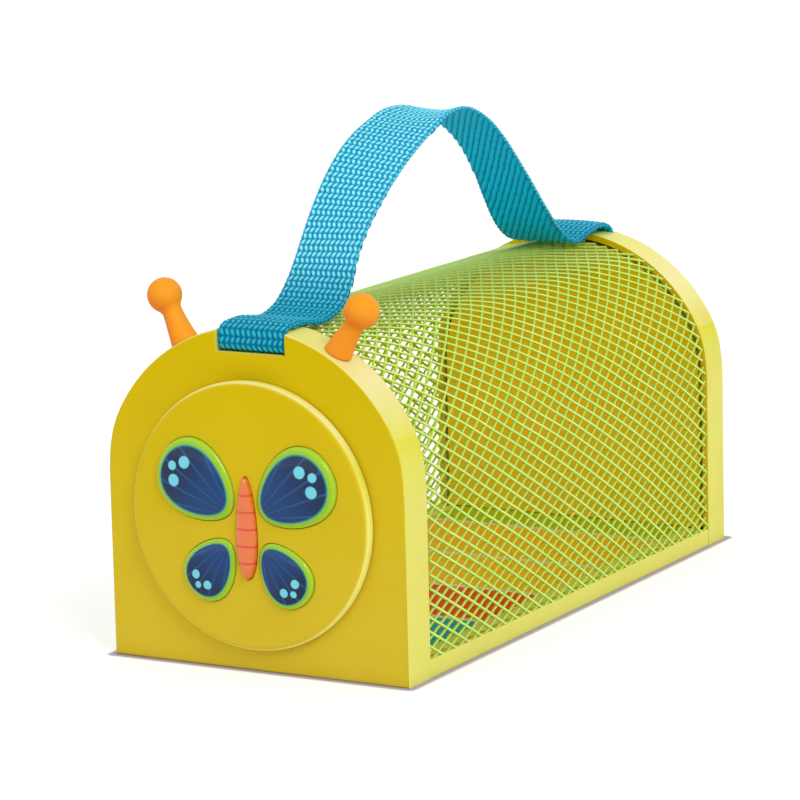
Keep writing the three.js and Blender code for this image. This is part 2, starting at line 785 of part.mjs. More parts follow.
function discProfile() {
  const flat = door_radius - door_edge_round;
  const crown_steps = 3;
  const round_steps = 3;
  const profile = [];
  for (let i = 0; i < crown_steps; i += 1) {
    const radius = (i / crown_steps) * flat;
    profile.push([radius, discSurface(radius)]);
  }
  for (let i = 0; i <= round_steps; i += 1) {
    const angle = (1 - i / round_steps) * (Math.PI / 2);
    const depth = door_edge_round * (1 - Math.sin(angle));
    profile.push([flat + door_edge_round * Math.cos(angle), door_edge - depth]);
  }
  profile.push([door_radius, 0], [door_radius - door_wall, 0]);
  profile.push([door_radius - door_wall, door_edge - door_wall]);
  for (const radius of [flat * 0.66, 0]) {
    profile.push([radius, discSurface(radius) - door_wall]);
  }
  return profile;
}

// An egg-shaped ring: the taper draws one end in, and the turn lifts that end's far side
function eggRing(spec, sign, shrink, y) {
  const ring = [];
  const turn = degrees(spec.turn);
  const shares = spec.shares;
  const egg_length = (door_radius * shares.length) / 2;
  const egg_width = (door_radius * shares.width) / 2;
  for (let i = 0; i < insert_sides; i += 1) {
    const angle = (2 * Math.PI * i) / insert_sides;
    const along = egg_length * Math.cos(angle) * shrink;
    const across = egg_width * Math.sin(angle) * (1 + shares.taper * Math.cos(angle)) * shrink;
    const x = door_radius * shares.x + along * Math.cos(turn) - across * Math.sin(turn);
    const z = door_radius * shares.z + along * Math.sin(turn) + across * Math.cos(turn);
    ring.push(new THREE.Vector3(sign * x, y, z));
  }
  return ring;
}

function insertPocket(spec, sign) {
  const shrink = 1 + (2 * insert_groove) / (door_radius * spec.shares.width);
  const floor = -door_gap - insert_floor;
  const front = floor - 2 * door_crown - overrun;
  return loft([eggRing(spec, sign, shrink, floor), eggRing(spec, sign, shrink, front)]);
}

function domedInsert(spec, sign) {
  const base = door_gap + insert_floor + seat;
  const side = base + insert_side;
  const rings = [eggRing(spec, sign, 1, -base), eggRing(spec, sign, 1, -side)];
  for (let i = 1; i <= insert_rings; i += 1) {
    const angle = (i / (insert_rings + 1)) * (Math.PI / 2);
    rings.push(eggRing(spec, sign, Math.cos(angle), -side - spec.crown * Math.sin(angle)));
  }
  rings.push(eggRing(spec, sign, Math.cos(Math.PI * 0.49), -side - spec.crown));
  return loft(rings);
}

const inserts = [
  ['wing_upper_left', upper_wing, -1, 'wing'], ['wing_upper_right', upper_wing, 1, 'wing'],
  ['wing_lower_left', lower_wing, -1, 'wing'], ['wing_lower_right', lower_wing, 1, 'wing'],
  ['butterfly_body', butterfly_body, 1, 'orange'],
];

function doorDisc() {
  const profile = discProfile().map(([r, h]) => new THREE.Vector2(r, -h - door_gap));
  let disc = solid(new THREE.LatheGeometry(profile, door_sides));
  const inside = -door_gap - (door_edge - door_wall / 2);
  const tip = shell_wall + seat;
  disc = disc.add(rodAlongY(pin_boss_radius, 0, pivot_offset, inside, -door_gap, pin_sides));
  disc = disc.add(rodAlongY(pin_radius, 0, pivot_offset, inside, tip, pin_sides));
  const blind = cap_front + cap_thickness - door_screw_length - fit;
  disc = disc.subtract(rodAlongY(hole_radius, 0, pivot_offset, blind, tip + overrun, screw_sides));
  for (const [, spec, sign] of inserts) {
    disc = disc.subtract(insertPocket(spec, sign));
  }
  return disc;
}

function doorCap() {
  const back = cap_front + cap_thickness;
  let cap = rodAlongY(cap_radius, 0, pivot_offset, cap_front, back, pin_sides);
  const half = lug_width / 2;
  cap = cap.add(block(-half, half, cap_front, back, pivot_offset, pivot_offset + lug_reach));
  const past = back + overrun;
  return cap.subtract(rodAlongY(hole_radius, 0, pivot_offset, cap_front - overrun, past, screw_sides));
}

function addDoor(end) {
  const door = new THREE.Group();
  door.position.z = door_height;
  end.add(door);
  addPiece(door, 'door_disc', doorDisc(), 'door');
  for (const [name, spec, sign, finish] of inserts) {
    addPiece(door, name, domedInsert(spec, sign), finish);
  }
  addPiece(door, 'door_cap', doorCap(), 'clamp');
  const cap_screw = addPiece(door, 'door_screw', screw(door_screw_length), 'steel');
  cap_screw.position.set(0, cap_front + cap_thickness + seat, pivot_offset);
}

// Antenna along +Y of its own frame, with the rim's outer surface at the origin
function antenna() {
  const ball_join = ball_reach - Math.sqrt(ball_radius ** 2 - stem_top_radius ** 2);
  const barb_top = -shell_wall - fit;
  const profile = [
    [0, barb_top - barb_length], [root_radius * 0.7, barb_top - barb_length],
    [barb_radius, barb_top - barb_length * 0.35], [barb_radius, barb_top],
    [root_radius, barb_top], [root_radius, seat], [stem_base_radius, seat],
    [stem_base_radius - stem_flare * 0.4, seat + stem_flare],
    [THREE.MathUtils.lerp(stem_base_radius, stem_top_radius, 0.45), ball_join * 0.4],
    [stem_top_radius, ball_join * 0.86],
  ];
  const ball_steps = 7;
  const start = Math.atan2(ball_join - ball_reach, stem_top_radius);
  for (let i = 0; i <= ball_steps; i += 1) {
    const angle = start + (i / ball_steps) * (Math.PI / 2 - start);
    const radius = i === ball_steps ? 0 : ball_radius * Math.cos(angle);
    profile.push([radius, ball_reach + ball_radius * Math.sin(angle)]);
  }
  return solid(new THREE.LatheGeometry(profile.map(([r, h]) => new THREE.Vector2(r, h)), antenna_sides));
}

function addAntennae(end) {
  for (const [label, sign] of [['left', -1], ['right', 1]]) {
    const tilt = new THREE.Group();
    tilt.position.set(0, antenna_depth, arch_centre);
    tilt.rotation.y = sign * degrees(antenna_angle);
    end.add(tilt);
    const peg = addPiece(tilt, `antenna_${label}`, antenna(), 'orange');
    peg.position.z = arch_radius;
    peg.rotation.x = Math.PI / 2;
  }
}

// The house stands with the middle of its whole length, door and inserts included, at the origin
const part = new THREE.Group();
const house = new THREE.Group();
house.position.y = front_proud / 2;
part.add(house);

const front = addEnd(house, 'front', -1, true);
addEnd(house, 'back', 1, false);
addDoor(front);
addAntennae(front);
addPiece(house, 'base_tray', baseTray(), 'base');
addPiece(house, 'floor_mat', floorMat(), 'mat');
addPiece(house, 'mesh_left_wall', meshWall(-1), 'mesh');
addPiece(house, 'mesh_right_wall', meshWall(1), 'mesh');
addRoof(house);
addPiece(house, 'strap', strap(), 'strap');

export default part;
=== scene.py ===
"""The looks of a child's bug house, built around its frame.

Moulded yellow ends and base, a fine wire mesh over the cabin, a webbing strap, orange antennae and
a round door with a butterfly of glossy domes. Lengths are in metres and every piece stays where the
frame has it.
"""
import json
import math
from bisect import bisect

import bmesh
import bpy
from bpy.props import FloatProperty, FloatVectorProperty, IntProperty, PointerProperty
from mathutils import Matrix, Vector


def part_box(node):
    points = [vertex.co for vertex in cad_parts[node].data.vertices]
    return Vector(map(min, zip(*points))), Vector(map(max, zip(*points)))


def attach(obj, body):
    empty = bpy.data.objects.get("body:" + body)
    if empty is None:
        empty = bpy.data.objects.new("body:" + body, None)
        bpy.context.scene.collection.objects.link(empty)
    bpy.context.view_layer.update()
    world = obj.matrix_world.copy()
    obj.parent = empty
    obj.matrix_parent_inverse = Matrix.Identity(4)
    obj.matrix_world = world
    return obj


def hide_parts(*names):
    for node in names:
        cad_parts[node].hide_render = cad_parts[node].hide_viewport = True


bl_info = {
    "name": "Bug House",
    "version": (1, 0, 0),
    "blender": (4, 5, 0),
    "location": "View3D > Sidebar > Bug House",
    "description": "Builds a child's bug house around its frame: mesh, strap, door and finishes",
    "category": "Add Mesh",
}

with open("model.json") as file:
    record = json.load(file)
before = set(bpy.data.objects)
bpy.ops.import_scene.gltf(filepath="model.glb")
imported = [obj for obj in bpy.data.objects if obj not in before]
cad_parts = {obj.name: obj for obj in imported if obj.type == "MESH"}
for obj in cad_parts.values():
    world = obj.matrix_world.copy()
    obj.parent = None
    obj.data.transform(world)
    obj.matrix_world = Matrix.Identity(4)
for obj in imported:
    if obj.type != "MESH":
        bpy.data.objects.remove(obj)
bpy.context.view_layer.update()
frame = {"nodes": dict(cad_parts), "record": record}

MM = 0.001
ONE_POINT = 0.002 * MM
ONE_PLANE = math.radians(0.6)
SHARP_EDGE = math.radians(60)
HOUSE = "house"
DOOR = "door"
SIDES = (("left", -1), ("right", 1))


# Places read from the frame

def house_middle():
    """The y of the middle of the house, between the outer faces of its two ends."""
    return (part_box("front_shell")[0].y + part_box("back_shell")[1].y) / 2


def door_centre():
    """The middle of the door disc, seen from the front."""
    low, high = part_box("door_disc")
    return Vector((0, 0, (low.z + high.z) / 2))


def door_radius():
    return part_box("door_disc")[1].x


class Arch:
    """The house outline: upright sides and an arc between the shoulders."""

    def __init__(self, inset):
        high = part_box("front_shell")[1]
        rise = high.z - bpy.context.scene.bug_house.shoulder_height
        self.radius = (high.x ** 2 + rise ** 2) / (2 * rise) - inset
        self.side = high.x - inset
        self.centre = high.z - self.radius - inset
        shoulder_angle = math.acos(self.side / self.radius)
        self.half_arc = self.radius * (math.pi / 2 - shoulder_angle)
        self.shoulder = self.centre + self.radius * math.sin(shoulder_angle)
        self.bend = 1 / math.tan(math.pi / 2 - shoulder_angle)


# Sizes and colours that a user would change

def number(name, description, value):
    return FloatProperty(name=name, description=description, default=value)


def length(name, description, millimetres):
    return FloatProperty(
        name=name, description=description, default=millimetres * MM, unit="LENGTH", precision=5,
    )


def colour(name, description, *levels):
    return FloatVectorProperty(
        name=name, description=description, subtype="COLOR_GAMMA", size=3, min=0, max=1,
        default=[level / 255 for level in levels],
    )


class BugHouseSizes(bpy.types.PropertyGroup):
    shoulder_height: length("Shoulder Height", "Where the upright sides meet the arch", 72)
    shoulder_blend: length("Shoulder Blend", "Height over which a side eases into the arch", 12)
    edge_round: length("Edge Round", "Rounding of moulded edges", 0.35)
    wire_long_pitch: length("Wire Long Pitch", "Length of a mesh diamond along the house", 8.1)
    wire_short_pitch: length("Wire Short Pitch", "Height of a mesh diamond", 4.65)
    wire_width: length("Wire Width", "Width of one strand of the mesh", 0.98)
    roof_lean: number("Roof Lean", "How the mesh is pulled askew on the roof", -0.36)
    wall_lean: number("Wall Lean", "How the mesh is pulled askew below the shoulders", 0.534)
    wire_belly: length("Wire Belly", "How far the mesh stands out below its ridge", 2.3)
    strap_width: length("Strap Width", "Width of the webbing", 25.4)
    strap_thickness: length("Strap Thickness", "Thickness of the webbing's ground", 0.9)
    pick_pitch: length("Pick Pitch", "Distance between rows of the weave", 2.3)
    warp_count: IntProperty(
        name="Warp Count", description="Raised yarns across the outer side", default=12,
    )
    rib_pitch: length("Rib Pitch", "Distance between the ribs of the strap's inner side", 2.45)


class BugHouseColours(bpy.types.PropertyGroup):
    face: colour("Face", "Front of the moulded ends and the door", 214, 186, 2)
    # Edge is partly the sides' own paler yellow and partly painted light.
    edge: colour("Edge", "Sides of the ends and the base", 232, 227, 112)
    # Low Slope, High Slope and Top are painted light on the rims, High Slope a painted highlight.
    lit_low_slope: colour("Low Slope", "Rims where they face a little upwards", 226, 222, 74)
    high_slope_highlight: colour("High Slope", "Rims where they face half upwards", 244, 234, 164)
    top: colour("Top", "Rims where they face upwards", 237, 232, 120)
    # Liner: the plastic's own yellow, raised as painted light against the shade behind the mesh.
    liner: colour("Liner", "Panels that close the ends inside", 255, 212, 0)
    wire: colour("Wire", "Outer side of the mesh's strands", 204, 246, 134)
    # Wire Flank is painted shade on the strands' flanks and inner side.
    wire_flank_shade: colour("Wire Flank", "Flanks and inner side of the mesh's strands", 190, 212, 44)
    strap: colour("Strap", "Webbing", 54, 186, 220)
    # Strap Crest is a painted highlight on the yarns, Strap Depth a painted shade between them.
    strap_crest_highlight: colour("Strap Crest", "Tops of the webbing's yarns", 154, 242, 253)
    strap_depth_shade: colour("Strap Depth", "Between the webbing's yarns", 26, 150, 190)
    # Strap Inner Side: own teal, raised as painted light against the shade under the strap.
    strap_inner: colour("Strap Inner Side", "Underside of the webbing", 0, 184, 236)
    antenna: colour("Antenna", "Antennae", 246, 158, 30)
    wing: colour("Wing", "Inside of a wing", 0, 58, 116)
    wing_rim: colour("Wing Rim", "Rim of a wing", 146, 194, 8)
    body: colour("Body", "The butterfly's body", 236, 112, 40)
    accent: colour("Accent", "Rings round the butterfly's body", 220, 66, 24)
    cream: colour("Cream", "Lines between the mat's bands", 226, 222, 190)


class BugHouseStage(bpy.types.PropertyGroup):
    lens: number("Lens", "Focal length in millimetres", 184.3)
    yaw: number("Yaw", "Camera turn round the house, degrees", 29.497)
    pitch: number("Pitch", "Camera height angle, degrees", 10.686)
    roll: number("Roll", "Camera roll, degrees", -1.379)
    distance: length("Distance", "From the camera to the house", 1439)
    offset_right: length("Offset Right", "Aim of the camera sideways", 12.763)
    offset_up: length("Offset Up", "Aim of the camera upwards", -67.677)
    # The width of a painted shadow on the floor round the foot of the house.
    contact_shadow: length("Contact", "Width of the dark line on the floor round the house", 2.6)
    key: number("Key", "Sun from the upper right", 0.95)
    fill: number("Fill", "Sun from the front left", 0.22)
    sky: number("Sky", "Strength of the plain surround", 0.76)


def linear(picked):
    """A picked colour as the linear RGBA that a shader takes."""
    return [*(c / 12.92 if c <= 0.04045 else ((c + 0.055) / 1.055) ** 2.4 for c in picked), 1]


def toned(picked, *shares):
    """A picked colour made darker or brighter, by one share or by one for each channel."""
    each = shares if len(shares) == 3 else shares * 3
    return [min(1, c * share) for c, share in zip(picked, each)]


# Node trees written as plain calls and sums

def summing(operation, turned=False):
    """A method of Wire that makes the Math node of one Python operator."""
    def method(self, other):
        return self.sheet.maths(operation, *((other, self) if turned else (self, other)))
    return method


class Wire:
    """A socket of a node tree. Sums written with it become Math nodes."""

    __add__ = summing("ADD")
    __radd__ = summing("ADD", turned=True)
    __sub__ = summing("SUBTRACT")
    __rsub__ = summing("SUBTRACT", turned=True)
    __mul__ = summing("MULTIPLY")
    __rmul__ = summing("MULTIPLY", turned=True)
    __truediv__ = summing("DIVIDE")
    __pow__ = summing("POWER")
    __mod__ = summing("FLOORED_MODULO")
    __lt__ = summing("LESS_THAN")
    __gt__ = summing("GREATER_THAN")

    def __init__(self, sheet, socket):
        self.sheet = sheet
        self.socket = socket

    def __abs__(self):
        return self.sheet.maths("ABSOLUTE", self)

    def __neg__(self):
        return 0 - self


class Sheet:
    """One node tree, with one method for any node."""

    def __init__(self, tree):
        self.tree = tree

    def feed(self, socket, value):
        if isinstance(value, Wire):
            self.tree.links.new(value.socket, socket)
        else:
            socket.default_value = value

    def node(self, kind, settings=None, inputs=None, output=0):
        """Any node, from its settings, which are set first, and its sockets' values or links."""
        made = self.tree.nodes.new(kind)
        for name, value in (settings or {}).items():
            if name == "stops":
                self.set_stops(made.color_ramp.elements, value)
            else:
                setattr(made, name, value)
        for key, value in (inputs or {}).items():
            self.feed(made.inputs[key], value)
        return Wire(self, made.outputs[output]) if made.outputs else made

    @staticmethod
    def set_stops(elements, stops):
        """Picked colours along a ramp, each at its own place."""
        while len(elements) < len(stops):
            elements.new(1)
        for element, (place, paint) in zip(elements, stops):
            element.position = place
            element.color = linear(paint)

    def maths(self, operation, *values):
        return self.node("ShaderNodeMath", {"operation": operation}, dict(enumerate(values)))

    def vector(self, x=0.0, y=0.0, z=0.0):
        return self.node("ShaderNodeCombineXYZ", None, {0: x, 1: y, 2: z})

    def axes(self, vector):
        return [self.node("ShaderNodeSeparateXYZ", None, {0: vector}, i) for i in range(3)]

    def soft_step(self, value, edge, blur):
        """0 below the edge and 1 above it, over a blurred width."""
        settings = {"interpolation_type": "SMOOTHSTEP"}
        inputs = {0: value, 1: edge - blur / 2, 2: edge + blur / 2}
        return self.node("ShaderNodeMapRange", settings, inputs)


class Finish(Sheet):
    """A material with one Principled shader."""

    def __init__(self, name, **fixed):
        self.material = bpy.data.materials.new(name)
        self.material.use_nodes = True
        super().__init__(self.material.node_tree)
        self.colours = bpy.context.scene.bug_house_colours
        self.shader = self.tree.nodes["Principled BSDF"]
        for key, value in fixed.items():
            self.shader.inputs[key.replace("_", " ")].default_value = value

    def place(self):
        return self.node("ShaderNodeTexCoord", output="Object")

    def normal(self):
        return self.node("ShaderNodeNewGeometry", output="Normal")

    def attribute(self, name):
        return self.node("ShaderNodeAttribute", {"attribute_name": name}, output="Fac")

    def noise(self, scale, detail, vector=None):
        inputs = {"Vector": vector or self.place(), "Scale": scale, "Detail": detail}
        return self.node("ShaderNodeTexNoise", None, inputs)

    def mix(self, share, first, second):
        """Blends two colours. Three values are a picked colour, four are linear."""
        paints = [p if isinstance(p, Wire) or len(p) == 4 else linear(p) for p in (first, second)]
        inputs = {0: share, 6: paints[0], 7: paints[1]}
        return self.node("ShaderNodeMix", {"data_type": "RGBA"}, inputs, output=2)

    def paint(self, base, roughness, height, strength, distance):
        """Feeds the shader, with small bumps that follow a height."""
        inputs = {"Height": height, "Strength": strength, "Distance": distance}
        bump = self.node("ShaderNodeBump", None, inputs)
        for name, value in (("Base Color", base), ("Roughness", roughness), ("Normal", bump)):
            self.feed(self.shader.inputs[name], value)
        return self.material


class GrowthSheet(Sheet):
    """A geometry tree with named sizes, ending in Realize Instances and Set Material."""

    def __init__(self, name, sizes):
        super().__init__(bpy.data.node_groups.new(name, "GeometryNodeTree"))
        face = self.tree.interface
        for side in ("INPUT", "OUTPUT"):
            face.new_socket("Geometry", in_out=side, socket_type="NodeSocketGeometry")
        self.sizes = sizes
        self.keys = {}
        for label, value in sizes.items():
            kind = "NodeSocketInt" if isinstance(value, int) else "NodeSocketFloat"
            self.keys[label] = face.new_socket(label, in_out="INPUT", socket_type=kind).identifier
        self.entry = self.node("NodeGroupInput").socket.node

    def size(self, label):
        return Wire(self, self.entry.outputs[label])

    def make(self, kind, settings=None, **inputs):
        """A geometry node. Its inputs go by name, with an underscore for a space."""
        named = {label.replace("_", " "): value for label, value in inputs.items()}
        return self.node("GeometryNode" + kind, settings, named)

    def position(self):
        return self.axes(self.make("InputPosition"))

    def named(self, name, kind="FLOAT"):
        return self.make("InputNamedAttribute", {"data_type": kind}, Name=name)

    def store(self, geometry, name, value, domain="POINT"):
        settings = {"data_type": "FLOAT", "domain": domain}
        return self.make("StoreNamedAttribute", settings, Geometry=geometry, Name=name, Value=value)

    def join(self, parts):
        joined = self.make("JoinGeometry")
        for part in parts:
            self.tree.links.new(part.socket, joined.socket.node.inputs[0])
        return joined

    def close(self, geometry, material):
        whole = self.make("RealizeInstances", Geometry=geometry)
        whole = self.make("SetShadeSmooth", Geometry=whole)
        dressed = self.make("SetMaterial", Geometry=whole, Material=material)
        self.node("NodeGroupOutput", None, {0: dressed})

    def grow(self, name, bm=None):
        """Runs the tree on a new piece and keeps the result as the piece's plain mesh."""
        piece = new_piece(name, bm or bmesh.new())
        modifier = piece.modifiers.new(self.tree.name, "NODES")
        modifier.node_group = self.tree
        for label, value in self.sizes.items():
            modifier[self.keys[label]] = value
        return settle(piece)


# Shares and lines

def soft(value, low, high):
    """0 up to the low value, 1 from the high one, and an easy climb between them."""
    share = max(0, min(1, (value - low) / (high - low)))
    return share * share * (3 - 2 * share)


def hump(value, *marks):
    """Climbs from 0 to 1 between the first two marks and falls back between the last two."""
    return soft(value, *marks[:2]) * (1 - soft(value, *marks[2:]))


def arc(centre, radius, start, end, steps):
    """Points on an arc in a plane, from one angle in degrees to another."""
    angles = [math.radians(start + (end - start) * i / steps) for i in range(steps + 1)]
    return [(centre[0] + radius * math.cos(a), centre[1] + radius * math.sin(a)) for a in angles]


def evenly(points, count):
    """Points at even steps along a line of points."""
    marks = [0.0]
    for first, second in zip(points, points[1:]):
        marks.append(marks[-1] + (second - first).length)
    spaced = []
    for step in range(count + 1):
        goal = marks[-1] * step / count
        i = min(max(bisect(marks, goal) - 1, 0), len(points) - 2)
        spaced.append(points[i].lerp(points[i + 1], (goal - marks[i]) / (marks[i + 1] - marks[i])))
    return spaced


def spline_point(before, first, second, after, share):
    """A point on the smooth curve through first and second."""
    a = 2 * first
    b = second - before
    c = 2 * before - 5 * first + 4 * second - after
    d = 3 * first - before - 3 * second + after
    return 0.5 * (a + b * share + c * share ** 2 + d * share ** 3)


# Meshes

def new_piece(name, bm, material=None):
    mesh = bpy.data.meshes.new(name)
    bm.to_mesh(mesh)
    bm.free()
    piece = bpy.data.objects.new(name, mesh)
    bpy.context.scene.collection.objects.link(piece)
    if material:
        mesh.materials.append(material)
    return piece


def settle(piece):
    """Bakes a piece's modifiers into its mesh."""
    graph = bpy.context.evaluated_depsgraph_get()
    mesh = bpy.data.meshes.new_from_object(
        piece.evaluated_get(graph), preserve_all_data_layers=True, depsgraph=graph,
    )
    piece.modifiers.clear()
    piece.data = mesh
    return piece


def modify(piece, kind, **settings):
    modifier = piece.modifiers.new(kind.title(), kind)
    for name, value in settings.items():
        setattr(modifier, name, value)
    return settle(piece)


def cut(piece, cutter, operation="DIFFERENCE"):
    """An exact cut or join of one mesh with another, which is then removed."""
    modify(piece, "BOOLEAN", operation=operation, object=cutter, solver="EXACT")
    bpy.data.objects.remove(cutter)


def smooth(piece, degrees):
    piece.data.shade_smooth()
    piece.data.set_sharp_from_angle(angle=math.radians(degrees))
    return piece


def write_layers(piece, layers):
    for name, values in layers.items():
        layer = piece.data.attributes.new(name, "FLOAT", "POINT")
        layer.data.foreach_set("value", values)


def keep(piece, body, slot, *nodes):
    """Puts the piece on the body it rides on and hides the nodes it stands for. Slot is not used.
    """
    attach(piece, body)
    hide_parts(*nodes)


def ease_shoulders(bm):
    """Bends the sides gently into the arch, where the outline would have a corner."""
    sizes = bpy.context.scene.bug_house
    arch, blend, levels = Arch(0), sizes.shoulder_blend, 8
    inner, outer = 0.8 * arch.side, 0.88 * arch.side
    for i in range(1 - levels, levels):
        bmesh.ops.bisect_plane(
            bm, geom=[*bm.verts, *bm.edges, *bm.faces], dist=ONE_POINT / 2,
            plane_co=(0, 0, sizes.shoulder_height + blend * i / levels), plane_no=(0, 0, 1),
        )
    for vert in bm.verts:
        near = max(0, blend - abs(vert.co.z - sizes.shoulder_height))
        share = soft(abs(vert.co.x), inner, outer)
        vert.co.x -= math.copysign(share * arch.bend * near ** 2 / (4 * blend), vert.co.x)


def keep_moulding(node, name, material, edge, body, slot, eased=False):
    """Keeps a copy of a frame node with its flat faces joined and its sharp edges rounded."""
    bm = bmesh.new()
    bm.from_mesh(frame["nodes"][node].data)
    bmesh.ops.remove_doubles(bm, verts=bm.verts, dist=ONE_POINT)
    if eased:
        ease_shoulders(bm)
    bmesh.ops.dissolve_limit(
        bm, angle_limit=ONE_PLANE, verts=bm.verts, edges=bm.edges, delimit={"NORMAL"},
    )
    piece = new_piece(name, bm, material)
    modify(piece, "BEVEL", width=edge, segments=2, limit_method="ANGLE", angle_limit=SHARP_EDGE)
    smooth(piece, 50)
    modify(piece, "WEIGHTED_NORMAL", keep_sharp=True)
    keep(piece, body, slot, node)


def skin(bm, rings):
    """Faces between rings of equal length, with both ends closed."""
    rows = [[bm.verts.new(point) for point in ring] for ring in rings]
    for low, high in zip(rows, rows[1:]):
        for i in range(len(low)):
            j = (i + 1) % len(low)
            bm.faces.new((low[i], low[j], high[j], high[i]))
    bm.faces.new(reversed(rows[0]))
    bm.faces.new(rows[-1])
    bmesh.ops.recalc_face_normals(bm, faces=bm.faces)


def lathe(profile, sides):
    """A solid of revolution about Z. The profile is (radius, height), from axis to axis."""
    bm = bmesh.new()
    rings = []
    for radius, height in profile:
        turns = [2 * math.pi * i / sides for i in range(sides if radius else 1)]
        ring = [(radius * math.cos(turn), radius * math.sin(turn), height) for turn in turns]
        rings.append([bm.verts.new(point) for point in ring])
    for low, high in zip(rings, rings[1:]):
        for i in range(sides):
            j = (i + 1) % sides
            around = ((low, i), (low, j), (high, j), (high, i))
            bm.faces.new(list(dict.fromkeys(ring[k % len(ring)] for ring, k in around)))
    bmesh.ops.recalc_face_normals(bm, faces=bm.faces)
    return bm


# Finishes of moulded plastic, wire, webbing, card and steel

def moulded(name, face, edge, roughness=0.36, grain=0.12):
    """Satin plastic: deepest on the flat of the ends, with painted light on the rims.

    The rims are palest, as a painted highlight, where they face half upwards. A faint painted
    shade lies on the front over the door, and the front is a little paler low down, as a
    painted reflection.
    """
    finish = Finish(name, Specular_IOR_Level=0.04)
    colours, step = finish.colours, finish.soft_step
    _, along, upward = finish.axes(finish.normal())
    sideways, _, height = finish.axes(finish.place())
    cloud = finish.noise(38, 3)
    speck = finish.noise(1400, 2)
    # The rims' colour by slope is painted light, palest as a painted highlight half upwards.
    stops = [(0, edge), (0.36, colours.lit_low_slope), (0.72, colours.high_slope_highlight), (1, colours.top)]
    side = finish.node("ShaderNodeValToRGB", {"stops": stops}, {0: upward})
    # The front is paler low down: a painted reflection.
    low = finish.mix(0.05, face, (1, 0.95, 0.8))
    front = finish.mix(step(height, 55 * MM, 120 * MM), low, face)
    # Painted shade on the front just over the door.
    over_door = height - door_centre().z - door_radius()
    spread = (sideways ** 2 + (over_door * 2.2) ** 2) ** 0.5
    near_door = 1 - step(spread, 9 * MM, 22 * MM)
    shade = near_door * step(over_door, 0.0, 2 * MM) * step(-along, 0.5, 0.2)
    front = finish.mix(shade * 0.6, front, toned(face, 0.86))
    # Sides and rounded edges take the rim colours: own paler tone and painted highlight.
    plain = finish.mix(step(abs(along), 0.74, 0.4), side, front)
    deep = finish.mix(0.1, plain, toned(face, 0.8))
    base = finish.mix(step(cloud, 0.56, 0.35), plain, deep)
    rough = roughness - 0.05 + 0.1 * cloud + 0.06 * speck
    return finish.paint(base, rough, speck * 0.6 + finish.noise(300, 2) * 0.4, grain, 0.06 * MM)


def coated_wire():
    """Coated metal: pale outside, painted shade on the flanks, the lower strands and the ridge."""
    finish = Finish("Coated Wire", Specular_IOR_Level=0.2)
    wire, step = finish.colours.wire, finish.soft_step
    sideways, _, height = finish.axes(finish.place())
    out = finish.vector(sideways, 0.0, finish.maths("MAXIMUM", height - Arch(0).centre, 0))
    out = finish.node("ShaderNodeVectorMath", {"operation": "NORMALIZE"}, {0: out})
    inputs = {0: out, 1: finish.normal()}
    facing = finish.node("ShaderNodeVectorMath", {"operation": "DOT_PRODUCT"}, inputs, "Value")
    base = finish.mix(step(finish.noise(55, 2), 0.5, 0.4), wire, toned(wire, 1.1))
    # Painted shade on the inner strands, which lie under the outer ones.
    base = finish.mix(finish.attribute("outer"), toned(wire, 0.95, 0.9, 0.66), base)
    # Painted shade on the flanks facing away from outside, the crest left pale.
    base = finish.mix(step(facing, 0.72, 0.4), finish.colours.wire_flank_shade, base)
    # Painted shade on the strands near the ridge.
    ridge_shade = step(height, 107.5 * MM, 7 * MM)
    base = finish.mix(ridge_shade * 0.5, base, toned(wire, 0.68))
    rough = 0.32 + 0.16 * finish.noise(420, 2)
    return finish.paint(base, rough, finish.noise(900, 2), 0.25, 0.1 * MM)


def webbing_yarn():
    """Polypropylene yarn: fine filaments along each float, painted shade between them and low down.
    """
    finish = Finish("Webbing Yarn", Specular_IOR_Level=0.06)
    colours, step = finish.colours, finish.soft_step
    tone, height, side = [finish.attribute(name) for name in ("tone", "height", "side")]
    # Painted shade: the strap is darker low down, where it folds over the ends.
    low_shade = step(finish.axes(finish.place())[2], 121 * MM, 20 * MM)

    def shaded_low_down(paint):
        return finish.mix(low_shade, toned(paint, 0.3, 0.76, 0.8), paint)

    inner_paint = colours.strap_inner
    outer = finish.mix(tone, shaded_low_down(toned(colours.strap, 0.9)), shaded_low_down(colours.strap))
    inner = finish.mix(tone, toned(inner_paint, 0.92), inner_paint)
    cloth = finish.mix(side, inner, outer)
    # Painted highlight on the floats' tops and painted shade between them, on both sides.
    crest_highlight = finish.mix(side, toned(inner_paint, 1.08), shaded_low_down(colours.strap_crest_highlight))
    depth = finish.mix(side, toned(inner_paint, 0.82), shaded_low_down(colours.strap_depth_shade))
    lit = finish.mix(step(height, 0.68, 0.5), cloth, crest_highlight)
    base = finish.mix(step(height, 0.22, 0.4), depth, lit)
    drawn_out = finish.node("ShaderNodeMapping", None, {0: finish.place(), 3: (1, 0.18, 0.18)})
    fibre = finish.noise(5200, 2, drawn_out)
    return finish.paint(base, 0.5 + 0.2 * fibre, fibre, 0.5, 0.12 * MM)


def antenna_vinyl():
    """Soft vinyl, with painted shade: a little deeper where it faces down and to the left."""
    finish = Finish("Antenna Vinyl", Specular_IOR_Level=0.16)
    cloud = finish.noise(120, 3)
    sideways, _, upward = finish.axes(finish.normal())
    # Painted shade where the vinyl faces down and to the left.
    lit_share = finish.soft_step(0.75 * upward + 0.5 * sideways + 0.3 * cloud, 0.1, 1.3)
    paint = finish.colours.antenna
    base = finish.mix(lit_share, toned(paint, 0.96, 0.8, 0.8), paint)
    return finish.paint(base, 0.42 + 0.12 * cloud, finish.noise(1100, 2), 0.2, 0.08 * MM)


